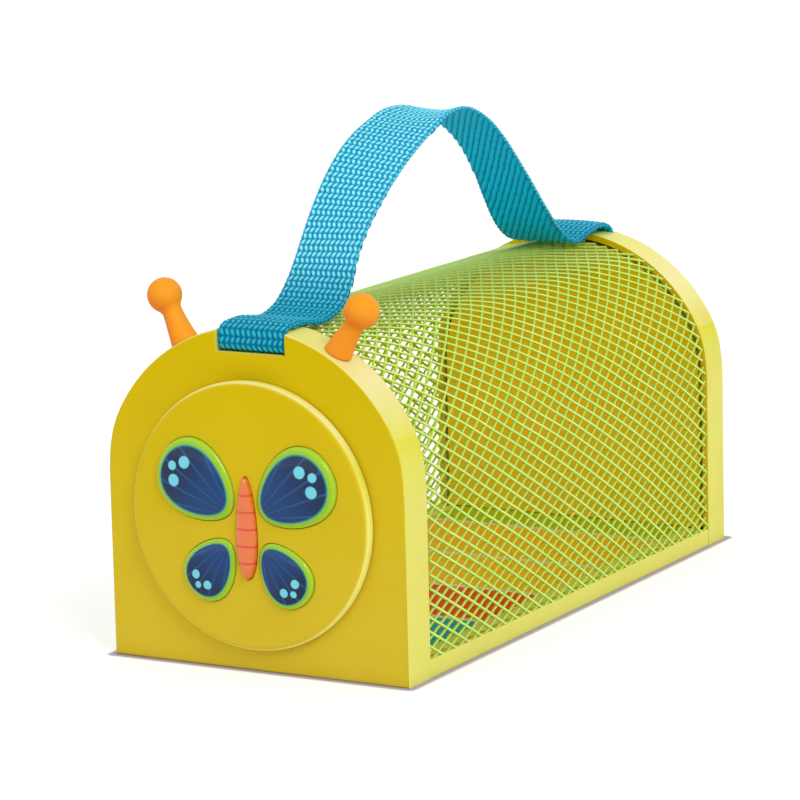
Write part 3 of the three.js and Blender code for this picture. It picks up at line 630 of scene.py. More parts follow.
def striped_card():
    """Printed card: bands across the cabin with cream lines between them."""
    finish = Finish("Striped Card", Specular_IOR_Level=0.06)
    along = finish.axes(finish.place())[1]
    place = along - house_middle() + (finish.noise(14, 1) - 0.5) * 1.2 * MM
    base = [0, 168 / 255, 176 / 255]
    bands = {-55: (238, 78, 8), -13: (255, 192, 0), 31: (252, 188, 0), 79: (176, 196, 0)}
    for line, band in bands.items():
        base = finish.mix(place > line * MM, base, [level / 255 for level in band])
    for line in bands:
        near = 1 - finish.soft_step(abs(place - line * MM), 1.5 * MM, 0.3 * MM)
        base = finish.mix(near, base, finish.colours.cream)
    paper = finish.noise(700, 4)
    base = finish.mix(0.03 * paper, base, (1, 1, 1))
    return finish.paint(base, 0.5 + 0.16 * paper, paper, 0.18, 0.1 * MM)


def domed_wing():
    """Print under a clear dome: a green rim, a thin teal line, and blue with pale spots inside."""
    clear = {"Coat_Weight": 0.6, "Coat_Roughness": 0.03, "Specular_IOR_Level": 0.1}
    finish = Finish("Domed Wing", **clear)
    wing, step = finish.colours.wing, finish.soft_step
    share, along, across = [finish.attribute(name) for name in ("share", "along", "across")]
    base = finish.mix(step(along, 0.1, 1.1), wing, toned(wing, 0.62))
    veins = abs(finish.maths("SINE", finish.maths("ARCTAN2", across, along + 1.15) * 11))
    base = finish.mix((1 - step(veins, 0.16, 0.2)) * 0.5, base, (0.05, 0.42, 0.66))
    for spot_along, spot_across, width in ((0.42, 0.3, 0.13), (0.42, -0.3, 0.13), (0.62, 0.0, 0.1)):
        reach = ((along - spot_along) ** 2 + ((across - spot_across) * 0.8) ** 2) ** 0.5
        base = finish.mix(1 - step(reach, width, 0.03), base, (0.45, 0.83, 0.90))
    base = finish.mix(step(share, 0.80, 0.03), base, (0.0, 0.55, 0.60))
    rim = finish.mix(step(share, 0.93, 0.12), finish.colours.wing_rim, (0.66, 0.82, 0.18))
    base = finish.mix(step(share, 0.84, 0.03), base, rim)
    return finish.paint(base, 0.2, finish.noise(60, 1), 0.04, 0.2 * MM)


def domed_body():
    """Print under a clear dome: darker rings round the body."""
    finish = Finish("Domed Body", Coat_Weight=1.0, Coat_Roughness=0.04)
    rings = abs(finish.maths("SINE", finish.attribute("along") * 9.5))
    colours = finish.colours
    base = finish.mix(1 - finish.soft_step(rings, 0.22, 0.15), colours.body, colours.accent)
    return finish.paint(base, 0.22, finish.noise(60, 1), 0.04, 0.2 * MM)


def nylon():
    finish = Finish("Natural Nylon", Specular_IOR_Level=0.4)
    cloud = finish.noise(200, 3)
    base = finish.mix(cloud, (0.93, 0.92, 0.88), (0.97, 0.96, 0.93))
    return finish.paint(base, 0.45 + 0.1 * cloud, finish.noise(900, 2), 0.2, 0.1 * MM)


def zinc():
    finish = Finish("Zinc Plate", Metallic=1.0)
    cloud = finish.noise(900, 3)
    base = finish.mix(cloud, (0.70, 0.71, 0.73), (0.84, 0.84, 0.85))
    return finish.paint(base, 0.22 + 0.2 * cloud, finish.noise(2600, 2), 0.3, 0.05 * MM)


# Pieces

class PieceOperator(bpy.types.Operator):
    """Builds one piece, or one group of like pieces"""

    bl_options = {"REGISTER", "UNDO"}

    def execute(self, context):
        self.build(context.scene.bug_house, context.scene.bug_house_colours)
        return {"FINISHED"}


class BUGHOUSE_OT_ends(PieceOperator):
    """Builds the moulded shells and the liners that close them"""

    bl_idname = "bug_house.ends"
    bl_label = "Ends"

    def build(self, sizes, colours):
        shell = moulded("End Plastic", colours.face, colours.edge)
        liner = moulded("Liner Plastic", colours.liner, colours.liner, 0.45)
        for side in ("front", "back"):
            for part, material in (("shell", shell), ("liner", liner)):
                node, edge = f"{side}_{part}", sizes.edge_round
                keep_moulding(node, f"{node}_moulding", material, edge, HOUSE, part, eased=True)


class BUGHOUSE_OT_base(PieceOperator):
    """Builds the base tray with its ribbed underside, and the striped mat"""

    bl_idname = "bug_house.base"
    bl_label = "Base"

    def build(self, sizes, colours):
        edge = sizes.edge_round
        plastic = moulded("Base Plastic", colours.edge, colours.edge, 0.38)
        keep_moulding("base_tray", "base_moulding", plastic, edge, HOUSE, "base")
        keep_moulding("floor_mat", "striped_mat", striped_card(), edge / 2, HOUSE, "mat")


class MeshSheet(GrowthSheet):
    """Straight strands in two directions over a flat sheet, which is then bent over the house.

    On the flat sheet u runs round the house from the ridge and v runs along it.
    """

    # Spare length of the strands, so that they pass the sheet's corners
    spare = 1.125
    # How fast the wall's pull fades towards the base, and how much of that comes back
    fade, fade_back = 1.22, 0.33
    # Below the shoulder the diamonds spread, the more the nearer the front: how soon, the even
    # part, and the part that grows from back to front
    spread_soon, spread, spread_end = 2.7, 0.02, 0.052
    # Angles from the ridge at which the belly is half grown, and over which it grows
    belly_middle, belly_ease = 0.4, 0.32
    # Distance between the two directions, as a share of the wire's width
    crossing = 0.3
    # How much taller the diamonds are at the shoulder than halfway down the wall
    stretch = 0.088
    # The unevenness of the strands: its height, and how close its waves are
    ripple, ripple_scale = 0.5 * MM, 24.0

    def weave(self, material):
        size = self.size
        steps = self.maths("CEIL", size("Reach") * (4 * self.spare) / size("Long Pitch"))
        span_u, span_v = [steps * size(pitch) / 2 for pitch in ("Short Pitch", "Long Pitch")]
        rows = self.maths("CEIL", (2 * size("Half Girth") + span_u) / size("Short Pitch")) + 1
        line = self.make(
            "MeshLine", {"mode": "OFFSET"}, Count=rows, Offset=self.vector(x=size("Short Pitch")),
            Start_Location=self.vector(-size("Half Girth") - span_u, -span_v / 2),
        )
        strand = self.make("CurvePrimitiveLine", End=self.vector(span_u, span_v))
        strand = self.make("ResampleCurve", Curve=strand, Count=steps * 2 + 1)
        laid = self.make("InstanceOnPoints", Points=line, Instance=strand)
        laid = self.make("RealizeInstances", Geometry=laid)
        mirrored = self.make("Transform", Geometry=laid, Scale=(1, -1, 1))
        both = self.join([self.store(laid, "outer", 1.0), self.store(mirrored, "outer", 0.0)])
        u, v, _ = self.position()
        beyond_u = abs(u) > size("Half Girth")
        beyond_v = abs(self.askew(u, v)) > size("Reach")
        beyond = self.maths("MAXIMUM", beyond_u, beyond_v)
        both = self.make("DeleteGeometry", Geometry=both, Selection=beyond)
        both = self.make("SetPosition", Geometry=both, Position=self.bent(u, v))
        ring = self.make("CurvePrimitiveCircle", Resolution=6, Radius=size("Wire") / 2)
        tubes = self.make("CurveToMesh", Curve=both, Profile_Curve=ring, Fill_Caps=True)
        self.close(tubes, material)

    def unrolled(self, u):
        """How far round the arc a point lies, and how far below the shoulder."""
        half_arc = self.size("Half Arc")
        on_arc = self.maths("MAXIMUM", self.maths("MINIMUM", u, half_arc), -half_arc)
        return on_arc, abs(u - on_arc)

    def askew(self, u, v):
        """The place along the house of a point of the flat sheet, which is pulled out of square."""
        size = self.size
        on_arc, down = self.unrolled(u)
        over = abs(on_arc) / size("Half Arc")
        fall = down / size("Drop")
        roof = size("Roof Lean") * size("Half Arc") * (over * over * (0.5 - over / 3))
        wall = size("Wall Lean") * down * (1 - self.fade * fall + self.fade_back * fall * fall)
        soon = self.maths("MINIMUM", self.spread_soon * fall, 1)
        spread = soon * v * (self.spread - self.spread_end * v / size("Reach"))
        return v + spread + roof + wall

    def bent(self, u, v):
        """Where a point of the flat sheet lies once it is pulled askew and bent over the house."""
        size = self.size
        on_arc, down = self.unrolled(u)
        angle = on_arc / size("Radius")
        ripple = self.node("ShaderNodeTexNoise", None, {
            "Vector": self.vector(u, v), "Scale": self.ripple_scale, "Detail": 1.0,
        })
        wave = (ripple - 0.5) * self.ripple
        belly = size("Belly") * self.soft_step(abs(angle), self.belly_middle, self.belly_ease)
        lift = (self.named("outer") - 0.5) * size("Wire") * self.crossing + wave + belly
        radius = size("Radius") + lift
        hang = down * (1 + self.stretch * (1 - down / size("Drop")))
        z = size("Centre Height") + self.maths("COSINE", angle) * radius - hang
        near = self.maths("MAXIMUM", size("Blend") - abs(z - size("Shoulder")), 0)
        eased = 1 - size("Bend") * near * near / (4 * size("Blend"))
        x = self.maths("SINE", angle) * radius * eased
        return self.vector(x, self.askew(u, v) + size("Middle"), z)


class BUGHOUSE_OT_mesh(PieceOperator):
    """Builds the wire mesh as one sheet over both walls and the roof"""

    bl_idname = "bug_house.mesh"
    bl_label = "Wire Mesh"

    bite = 0.5 * MM

    def build(self, sizes, colours):
        low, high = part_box("mesh_right_wall")
        front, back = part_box("front_shell")[1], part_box("back_shell")[0]
        arch = Arch(front.x - high.x + (high.x - low.x) / 2)
        drop = arch.shoulder - low.z
        sheet = MeshSheet("Wire Mesh", {
            "Long Pitch": sizes.wire_long_pitch,
            "Short Pitch": sizes.wire_short_pitch,
            "Wire": sizes.wire_width,
            "Roof Lean": sizes.roof_lean,
            "Wall Lean": sizes.wall_lean,
            "Belly": sizes.wire_belly,
            "Reach": (back.y - front.y) / 2 + self.bite,
            "Half Girth": arch.half_arc + drop,
            "Half Arc": arch.half_arc,
            "Radius": arch.radius,
            "Centre Height": arch.centre,
            "Drop": drop,
            "Middle": (low.y + high.y) / 2,
            "Shoulder": sizes.shoulder_height,
            "Blend": sizes.shoulder_blend,
            "Bend": arch.bend / arch.side,
        })
        sheet.weave(coated_wire())
        whole = [name for name in frame["nodes"] if name.startswith("mesh_")]
        keep(sheet.grow("wire_mesh"), HOUSE, "mesh", *whole)


# The strap's hoop, edge by edge, in shares of its reach along the house and of its rise
LEFT_HOOP = (
    (-1, 0.04), (-0.937, 0.014), (-0.868, 0.002), (-0.778, 0.048), (-0.707, 0.148),
    (-0.659, 0.247), (-0.608, 0.37), (-0.548, 0.507), (-0.465, 0.667), (-0.37, 0.803),
    (-0.262, 0.902), (-0.145, 0.961), (-0.049, 0.981), (0.049, 0.979), (0.145, 0.952),
    (0.238, 0.901), (0.348, 0.809), (0.447, 0.682), (0.53, 0.523), (0.599, 0.343),
    (0.673, 0.17), (0.738, 0.072), (0.804, 0.018), (0.872, 0.005), (1, 0.04),
)
RIGHT_HOOP = (
    (-1, 0.04), (-0.935, 0.014), (-0.866, 0.004), (-0.776, 0.05), (-0.712, 0.155),
    (-0.678, 0.274), (-0.628, 0.394), (-0.558, 0.511), (-0.462, 0.639), (-0.359, 0.751),
    (-0.252, 0.848), (-0.142, 0.929), (-0.049, 0.975), (0.046, 0.986), (0.14, 0.955),
    (0.227, 0.885), (0.325, 0.761), (0.415, 0.62), (0.502, 0.471), (0.586, 0.318),
    (0.673, 0.17), (0.74, 0.08), (0.805, 0.021), (0.873, 0.004), (1, 0.04),
)


class Ribbon:
    """The strap's run from its tail in the front end to the one in the back, between two edges."""

    reach = 106 * MM
    rise = 58.5 * MM
    dip = 2.35 * MM
    bend = 1.5 * MM
    fold_run = 9 * MM
    fold_drop = 3.6 * MM
    notch_drop = 8.6 * MM
    face_depth = 1.7 * MM
    tail_depth = 7.5 * MM
    tail_length = 8.2 * MM
    clearance = 0.3 * MM
    thickness = 1.5 * MM
    drape = 0.6 * MM
    cup = 0.9 * MM
    curl = 1.1 * MM
    rear_rest = 1.6 * MM

    def __init__(self, width):
        self.width = width
        low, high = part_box("front_shell")
        self.half_house = (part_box("back_shell")[1].y - low.y) / 2
        self.middle = house_middle()
        self.roof = high.z
        self.left = self.edge(LEFT_HOOP)
        self.right = self.edge(RIGHT_HOOP)
        self.marks = [0.0]
        for i in range(1, len(self.left)):
            steps = [(side[i] - side[i - 1]).length for side in (self.left, self.right)]
            self.marks.append(self.marks[-1] + sum(steps) / 2)
        self.length = self.marks[-1]

    def edge(self, shares):
        """Points (y, z) along one edge, in even steps on each stretch."""
        rest = self.clearance + self.thickness / 2
        channel = self.roof - self.notch_drop + rest
        top = self.roof + rest
        tail = -self.half_house + self.tail_depth
        face = -self.half_house + self.face_depth
        start = [(tail, channel - self.tail_length)]
        start += arc((tail - self.bend, channel - self.bend), self.bend, 0, 90, 6)
        start += arc((face + self.bend, channel + self.bend), self.bend, 270, 180, 6)
        for i in range(13):
            angle = math.pi / 2 * i / 12
            run = self.fold_run * (1 - math.cos(angle))
            drop = self.fold_drop * (1 - math.sin(angle))
            start.append((face + run, top - drop))
        knots = [Vector((a * self.reach, top - self.dip + b * self.rise)) for a, b in shares]
        start = evenly([*map(Vector, start), knots[0]], 36)
        hoop = []
        for i in range(len(knots) - 1):
            near = [knots[min(max(j, 0), len(knots) - 1)] for j in range(i - 1, i + 3)]
            hoop += [spline_point(*near, step / 8) for step in range(8)]
        hoop = evenly([*hoop, knots[-1]], 250)
        return [*start, *hoop[1:-1], *(Vector((-point.x, point.y)) for point in reversed(start))]

    def crown(self, i, across):
        """How far the webbing is off the flat: draped at its rims, cupped on top of the hoop."""
        from_face = (self.half_house - abs(self.left[i].x)) / MM
        cupped = 1 - soft(abs(self.marks[i] - self.length / 2), 4 * MM, 22 * MM)
        edge = self.curl * cupped - self.drape * hump(from_face, 3, 9, 15, 25)
        rest = self.rear_rest * hump(from_face, 1.5, 8, 17, 32) if self.left[i].x > 0 else 0
        return rest + edge * across ** 2 - self.cup * cupped * (1 - across ** 2)

    def place(self, x, along, height):
        """Where a point of the flat webbing lies on the house."""
        i = min(max(bisect(self.marks, along) - 1, 0), len(self.marks) - 2)
        share = (along - self.marks[i]) / (self.marks[i + 1] - self.marks[i])
        across = 2 * x / self.width
        ends = []
        for j in (i, i + 1):
            near, far = max(j - 1, 0), min(j + 1, len(self.marks) - 1)
            gap = (self.left[j] - self.right[j]).length
            lift = height + self.crown(j, max(-1, min(1, across)))
            sides = []
            for side in (self.left, self.right):
                way = (side[far] - side[near]).normalized()
                sides.append(side[j] + Vector((-way.y, way.x)) * lift)
            middle = sides[0].lerp(sides[1], 0.5 + across / 2)
            ends.append(Vector((x * math.sqrt(1 - (gap / self.width) ** 2), middle.x, middle.y)))
        return ends[0].lerp(ends[1], share) + Vector((0, self.middle, 0))


class WebbingSheet(GrowthSheet):
    """Raised yarns: slanted to and fro by rows outside, in long ribs inside, and at the edges.

    A look's side is 1 outside and 0 inside, and its slant is in degrees. Broad and long say how
    much of the pitches one float fills.
    """

    # Shares of the width that the yarns cover outside and, to either side, inside
    cover, inner_cover = 0.95, 0.47
    # How far a float may turn out of its slant
    stray = 0.07
    # The part of a float below this height is hidden in the ground, so it is left out
    buried = -0.3

    def weave(self, material):
        size = self.size
        columns = size("Warp Count")
        pitch = size("Width") * self.cover / columns
        ribs = self.maths("CEIL", size("Width") / size("Rib Pitch")) + 1
        rims = size("Width") - size("Thickness") * 0.7
        looks = (
            dict(columns=columns, pitch=pitch, side=1.0, slant=31, broad=0.76, long=1.25),
            dict(columns=ribs, pitch=size("Rib Pitch"), side=0.0, slant=29, broad=0.84, long=4.6),
            dict(columns=2, pitch=rims, side=1.0, slant=0),
        )
        parts = []
        for look in looks:
            row = self.maths("FLOOR", self.position()[1] / size("Pick Pitch"))
            turn = math.radians(look["slant"])
            slant = (row % 2 * 2 - 1) * turn if look["side"] else turn
            slant = self.vector(z=slant + self.random({2: -self.stray, 3: self.stray}))
            placed = self.make(
                "InstanceOnPoints", Points=self.points(look), Instance=self.grain(look),
                Rotation=self.node("FunctionNodeEulerToRotation", None, {0: slant}),
            )
            parts.append(self.store(placed, "tone", self.random({"Seed": 11}), "INSTANCE"))
        self.close(self.join(parts), material)

    def random(self, inputs):
        return self.node("FunctionNodeRandomValue", {"data_type": "FLOAT"}, inputs, output=1)

    def points(self, look):
        """A point for each yarn float. On the inner side they shift along the ribs, row by row."""
        size = self.size
        step = size("Pick Pitch") * (1 if look["side"] else 2)
        rows = self.maths("FLOOR", size("Length") / step)
        grid = self.make(
            "MeshGrid", Size_X=look["pitch"] * (look["columns"] - 1), Size_Y=step * (rows - 1),
            Vertices_X=look["columns"], Vertices_Y=rows,
        )
        x, y, _ = self.position()
        along = y + size("Length") / 2
        if look["side"]:
            return self.make("SetPosition", Geometry=grid, Position=self.vector(x, along))
        drift = (along * -math.tan(math.radians(look["slant"]))) % look["pitch"] - look["pitch"] / 2
        grid = self.make("SetPosition", Geometry=grid, Position=self.vector(x + drift, along))
        beyond = abs(x) > size("Width") * self.inner_cover
        return self.make("DeleteGeometry", Geometry=grid, Selection=beyond)

    def grain(self, look):
        """One float of yarn, standing out of the ground, with its own height in an attribute."""
        thick, pick = self.size("Thickness"), self.size("Pick Pitch")
        ball = self.make("MeshIcoSphere", Radius=1.0, Subdivisions=2)
        if not look["slant"]:
            loop = self.store(self.store(ball, "height", 0.62), "side", 1.0)
            scale = self.vector(thick * 0.55, pick * 0.46, thick * 0.72)
            return self.make("Transform", Geometry=loop, Scale=scale)
        level = self.position()[2]
        top = self.make("DeleteGeometry", Geometry=ball, Selection=level < self.buried)
        top = self.store(self.store(top, "height", level), "side", look["side"])
        half_width, half_length = look["pitch"] * look["broad"] / 2, pick * look["long"] / 2
        top = self.make(
            "Transform", Geometry=top, Translation=self.vector(z=thick * 0.38),
            Scale=self.vector(half_width, half_length, thick * 0.6),
        )
        flip = 0 if look["side"] else math.pi
        return self.make("Transform", Geometry=top, Rotation=(0, flip, 0))


class BUGHOUSE_OT_strap(PieceOperator):
    """Builds the carry strap: webbing with raised yarns, woven flat and then bent over the house"""

    bl_idname = "bug_house.strap"
    bl_label = "Strap"

    overhang = 0.2 * MM

    def build(self, sizes, colours):
        ribbon = Ribbon(sizes.strap_width)
        material = webbing_yarn()
        ground = self.ground(ribbon, sizes, material)
        sheet = WebbingSheet("Webbing", {
            "Length": ribbon.length,
            "Width": sizes.strap_width,
            "Thickness": sizes.strap_thickness,
            "Pick Pitch": sizes.pick_pitch,
            "Warp Count": sizes.warp_count,
            "Rib Pitch": sizes.rib_pitch,
        })
        sheet.weave(material)
        yarns = sheet.grow("webbing_strap")
        keys = ("selected_objects", "selected_editable_objects")
        both = dict.fromkeys(keys, [yarns, ground])
        with bpy.context.temp_override(active_object=yarns, object=yarns, **both):
            bpy.ops.object.join()
        half = sizes.strap_width / 2 + self.overhang
        for vertex in yarns.data.vertices:
            x, along, height = vertex.co
            vertex.co = ribbon.place(max(-half, min(half, x)), along, height)
        keep(yarns, HOUSE, "strap", "strap")

    @staticmethod
    def ground(ribbon, sizes, material):
        """The flat ground of the webbing, with round edges."""
        bm = bmesh.new()
        thick = sizes.strap_thickness / 2
        flat = sizes.strap_width / 2 - thick
        columns = 6
        bend = [(flat + c, h) for c, h in arc((0, 0), thick, -90, 90, 4)]
        top = [(flat - 2 * flat * i / columns, thick) for i in range(1, columns)]
        section = [*bend, *top, *[(-x, -h) for x, h in bend], *[(-x, -h) for x, h in top]]
        steps = math.ceil(ribbon.length / MM)
        lines = [ribbon.length * i / steps for i in range(steps + 1)]
        skin(bm, [[(x, along, h) for x, h in section] for along in lines])
        piece = new_piece("strap_ground", bm, material)
        count = len(lines)
        write_layers(piece, {
            "height": [0.0] * len(section) * count,
            "tone": [0.5] * len(section) * count,
            "side": [1.0 if h > 0 else 0.0 for _, h in section] * count,
        })
        return smooth(piece, 60)


class BUGHOUSE_OT_antennae(PieceOperator):
    """Builds the two antennae: a tapered peg with a ball"""

    bl_idname = "bug_house.antennae"
    bl_label = "Antennae"

    tilt = 29.5
    depth = 7 * MM
    ball_radius = 5.8 * MM
    ball_reach = 16.8 * MM
    base_radius = 4.7 * MM
    top_radius = 3.3 * MM
    root_radius = 2.1 * MM
    wall = 2.2 * MM
    rim = 0.1 * MM
    rim_round = 0.3 * MM
    play = 0.3 * MM
    barb = 0.5 * MM
    barb_length = 0.7 * MM
    root_length = 2 * MM
    taper = 1.35
    sway = 0.9 * MM

    def build(self, sizes, colours):
        material = antenna_vinyl()
        arch = Arch(0)
        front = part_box("front_shell")[0].y
        for label, sign in SIDES:
            bm = lathe(self.profile(), 72)
            turn = Matrix.Rotation(sign * math.radians(self.tilt), 4, "Y")
            seat = Matrix.Translation((0, front + self.depth, arch.centre)) @ turn
            bm.transform(seat @ Matrix.Translation((0, 0, arch.radius)))
            self.bend(bm, sign, arch)
            piece = smooth(new_piece(f"{label}_antenna_peg", bm, material), 35)
            keep(piece, HOUSE, "antenna", f"antenna_{label}")

    def bend(self, bm, sign, arch):
        """Both antennae lean a little to the right, most at the ball."""
        for vert in bm.verts:
            reach = math.hypot(vert.co.x, vert.co.z - arch.centre) - arch.radius
            share = soft(reach, 0, self.ball_reach)
            vert.co.x += self.sway * share
            vert.co.z -= 0.5 * self.sway * sign * share

    def profile(self):
        """The peg's section: barbed root, round foot, tapered stem and ball."""
        root, rim, thin = -self.wall - self.play, self.rim, self.root_radius
        join = self.ball_reach - math.sqrt(self.ball_radius ** 2 - self.top_radius ** 2)
        barb = thin + self.barb
        foot, tip = self.base_radius - self.rim_round, root - self.root_length
        points = [(0, tip), (thin * 0.7, tip), (barb, root - self.barb_length)]
        points += [(barb, root), (thin, root), (thin, rim), (foot, rim)]
        points += arc((foot, rim + self.rim_round), self.rim_round, -90, 0, 4)
        for i in range(1, 13):
            share = i / 12
            thicker = (self.base_radius - self.top_radius) * (1 - share) ** self.taper
            height = rim + self.rim_round + share * (join * 0.9 - rim)
            points.append((self.top_radius + thicker, height))
        start = math.degrees(math.atan2(join - self.ball_reach, self.top_radius)) + 6
        points += arc((0, self.ball_reach), self.ball_radius, start, 88, 22)
        return [*points, (0, self.ball_reach + self.ball_radius)]


class Egg:
    """An egg-shaped outline on the door, placed and sized in shares of the door's radius."""

    corners = 112

    def __init__(self, sign, x, z, long, wide, taper, turn):
        radius = door_radius()
        self.sign = sign
        self.x, self.z = x * radius, z * radius
        self.half_length, self.half_width = long * radius / 2, wide * radius / 2
        self.taper = taper
        self.turn = math.radians(turn)

    def points(self, grow):
        """A ring in the egg's own axes, as (along, across). Grow is a length added all round."""
        points = []
        for i in range(self.corners):
            angle = 2 * math.pi * i / self.corners
            swell = 1 + self.taper * math.cos(angle)
            along = (self.half_length + grow) * math.cos(angle)
            points.append((along, (self.half_width + grow) * math.sin(angle) * swell))
        return points

    def ring(self, grow, y):
        """The same ring in its place on the door, facing the front."""
        level = door_centre().z
        cos, sin = math.cos(self.turn), math.sin(self.turn)
        return [
            (self.sign * (self.x + a * cos - b * sin), y, level + (self.z + a * sin + b * cos))
            for a, b in self.points(grow)
        ]


def butterfly():
    """Name, frame node and outline of each dome on the door."""
    wings = {
        "upper": (0.413, 0.234, 0.697, 0.562, 0.22, 34),
        "lower": (0.306, -0.396, 0.517, 0.404, 0.25, -52),
    }
    for level, shape in wings.items():
        for label, sign in SIDES:
            yield f"{level}_{label}_wing_dome", f"wing_{level}_{label}", Egg(sign, *shape)
    yield "body_dome", "butterfly_body", Egg(1, 0, -0.076, 0.764, 0.171, -0.22, 90)


class BUGHOUSE_OT_door(PieceOperator):
    """Builds the domed door disc with a pocket for each insert"""

    bl_idname = "bug_house.door"
    bl_label = "Door"

    gap = 0.4 * MM
    edge = 3.7 * MM
    crown = 1.2 * MM
    edge_round = 2 * MM
    wall = 2 * MM
    pocket_floor = 3.7 * MM
    pocket_reach = 6 * MM
    foot_cut = 0.4 * MM
    edge_highlight = 0.06
    groove = 0.3 * MM
    pin_radius = 3 * MM
    boss_radius = 5 * MM
    pin_offset = 38.5 * MM

    def build(self, sizes, colours):
        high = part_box("door_disc")[1]
        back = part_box("front_shell")[0].y - self.gap
        turned = Matrix.Rotation(math.pi / 2, 4, "X")
        upright = Matrix.Translation((0, back, door_centre().z)) @ turned
        disc = lathe(self.profile(high.x), 168)
        disc.transform(upright)
        piece = new_piece("door_moulding", disc)
        inner = self.edge - self.wall / 2
        for radius, outer in ((self.boss_radius, 0), (self.pin_radius, back - high.y)):
            rod = lathe([(0, outer), (radius, outer), (radius, inner), (0, inner)], 48)
            rod.transform(upright @ Matrix.Translation((0, self.pin_offset, 0)))
            cut(piece, new_piece("pin", rod), "UNION")
        floor = back - self.pocket_floor
        for _, _, egg in butterfly():
            pocket = bmesh.new()
            skin(pocket, [egg.ring(self.groove, y) for y in (floor, floor - self.pocket_reach)])
            cut(piece, new_piece("pocket", pocket))
        piece.data.materials.clear()
        # The door's rounded edge is paler: a painted highlight.
        edge = [min(1, c + self.edge_highlight) for c in colours.edge]
        piece.data.materials.append(moulded("Door Plastic", colours.face, edge, 0.3, 0.08))
        smooth(piece, 40)
        modify(piece, "WEIGHTED_NORMAL", keep_sharp=True)
        keep(piece, DOOR, "door", "door_disc")

    def profile(self, radius):
        """The disc's section: domed front, round edge and hollow back."""
        flat = radius - self.edge_round

        def front(r):
            return self.edge + self.crown * (1 - (r / flat) ** 2)

        points = [(flat * i / 16, front(flat * i / 16)) for i in range(16)]
        points += arc((flat, self.edge - self.edge_round), self.edge_round, 90, 0, 10)
        points += [(radius, self.foot_cut), (radius - self.foot_cut, 0), (radius - self.wall, 0)]
        points += [(radius - self.wall, self.edge - self.wall)]
        points += [(flat * share, front(flat * share) - self.wall) for share in (0.66, 0.4, 0.2)]
        return [*points, (0, front(0) - self.wall)]


class BUGHOUSE_OT_inserts(PieceOperator):
    """Builds the glossy domes on the door: four wings and a body"""

    bl_idname = "bug_house.inserts"
    bl_label = "Butterfly Domes"

    shoulder = 0.9 * MM
    shoulder_round = 0.15 * MM
    steps = 16

    def build(self, sizes, colours):
        looks = {"wing": domed_wing(), "insert_body": domed_body()}
        for name, node, egg in butterfly():
            slot = "wing" if node.startswith("wing") else "insert_body"
            keep(self.dome(name, node, egg, looks[slot]), DOOR, slot, node)

    def dome(self, name, node, egg, material):
        """A domed egg with a small shoulder, and its print laid out in attributes."""
        low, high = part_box(node)
        side = high.y - self.shoulder
        crown = side - low.y
        levels = [(0, high.y, 1), (0, side + self.shoulder_round, 1)]
        for i in range(self.steps + 1):
            angle = (0.04 + 0.94 * i / self.steps) * math.pi / 2
            share = math.cos(angle) ** 0.8
            levels.append((-egg.half_width * (1 - share), side - crown * math.sin(angle), share))
        bm = bmesh.new()
        skin(bm, [egg.ring(grow, y) for grow, y, _ in levels])
        piece = new_piece(name, bm, material)
        prints = [(share, point) for grow, _, share in levels for point in egg.points(grow)]
        write_layers(piece, {
            "share": [share for share, _ in prints],
            "along": [point[0] / egg.half_length for _, point in prints],
            "across": [point[1] / egg.half_width for _, point in prints],
        })
        return smooth(piece, 60)


class ScrewSheet(GrowthSheet):
    """Pan-head screws with a cross recess, one on each point, along the point's axis."""

    # The cross recess: its arms' length and width, and how far down they are set, as a share
    # of their depth
    cross_length, cross_width, cross_sunk = 2.6 * MM, 0.62 * MM, 0.4
    # Side of the cube that cuts away the half of the head that would be in the shank
    block = 20 * MM

    def shape(self, material):
        size = self.size
        head = self.make("MeshUVSphere", Segments=36, Rings=18, Radius=1.0)
        head = self.make(
            "Transform", Geometry=head, Translation=self.vector(z=-size("Head Height")),
            Scale=self.vector(size("Head Radius"), size("Head Radius"), size("Head Height")),
        )
        depth, sunk = size("Recess"), -(size("Recess") * self.cross_sunk)
        cutters = [
            ((self.block, self.block, self.block), -self.block / 2 - size("Head Height")),
            ((self.cross_length, self.cross_width, depth), sunk),
            ((self.cross_width, self.cross_length, depth), sunk),
        ]
        exact = {"operation": "DIFFERENCE", "solver": "EXACT"}
        trimmed = self.make("MeshBoolean", exact, Mesh_1=head)
        for extent, z in cutters:
            block = self.make("MeshCube", Size=self.vector(*extent))
            block = self.make("Transform", Geometry=block, Translation=self.vector(z=z))
            self.tree.links.new(block.socket, trimmed.socket.node.inputs[1])
        shank = self.make("MeshCylinder", Vertices=24, Radius=size("Shank Radius"), Depth=1.0)
        shank = self.make("Transform", Geometry=shank, Translation=self.vector(z=-0.5))
        turn = self.node("FunctionNodeAlignRotationToVector", {"axis": "Z"}, {
            "Vector": self.named("axis", "FLOAT_VECTOR"),
        })
        points = self.make("MeshToPoints", Mesh=size("Geometry"))
        heads = self.make("InstanceOnPoints", Points=points, Instance=trimmed, Rotation=turn)
        shanks = self.make(
            "InstanceOnPoints", Points=points, Instance=shank, Rotation=turn,
            Scale=self.vector(1.0, 1.0, self.named("shank")),
        )
        self.close(self.join([heads, shanks]), material)


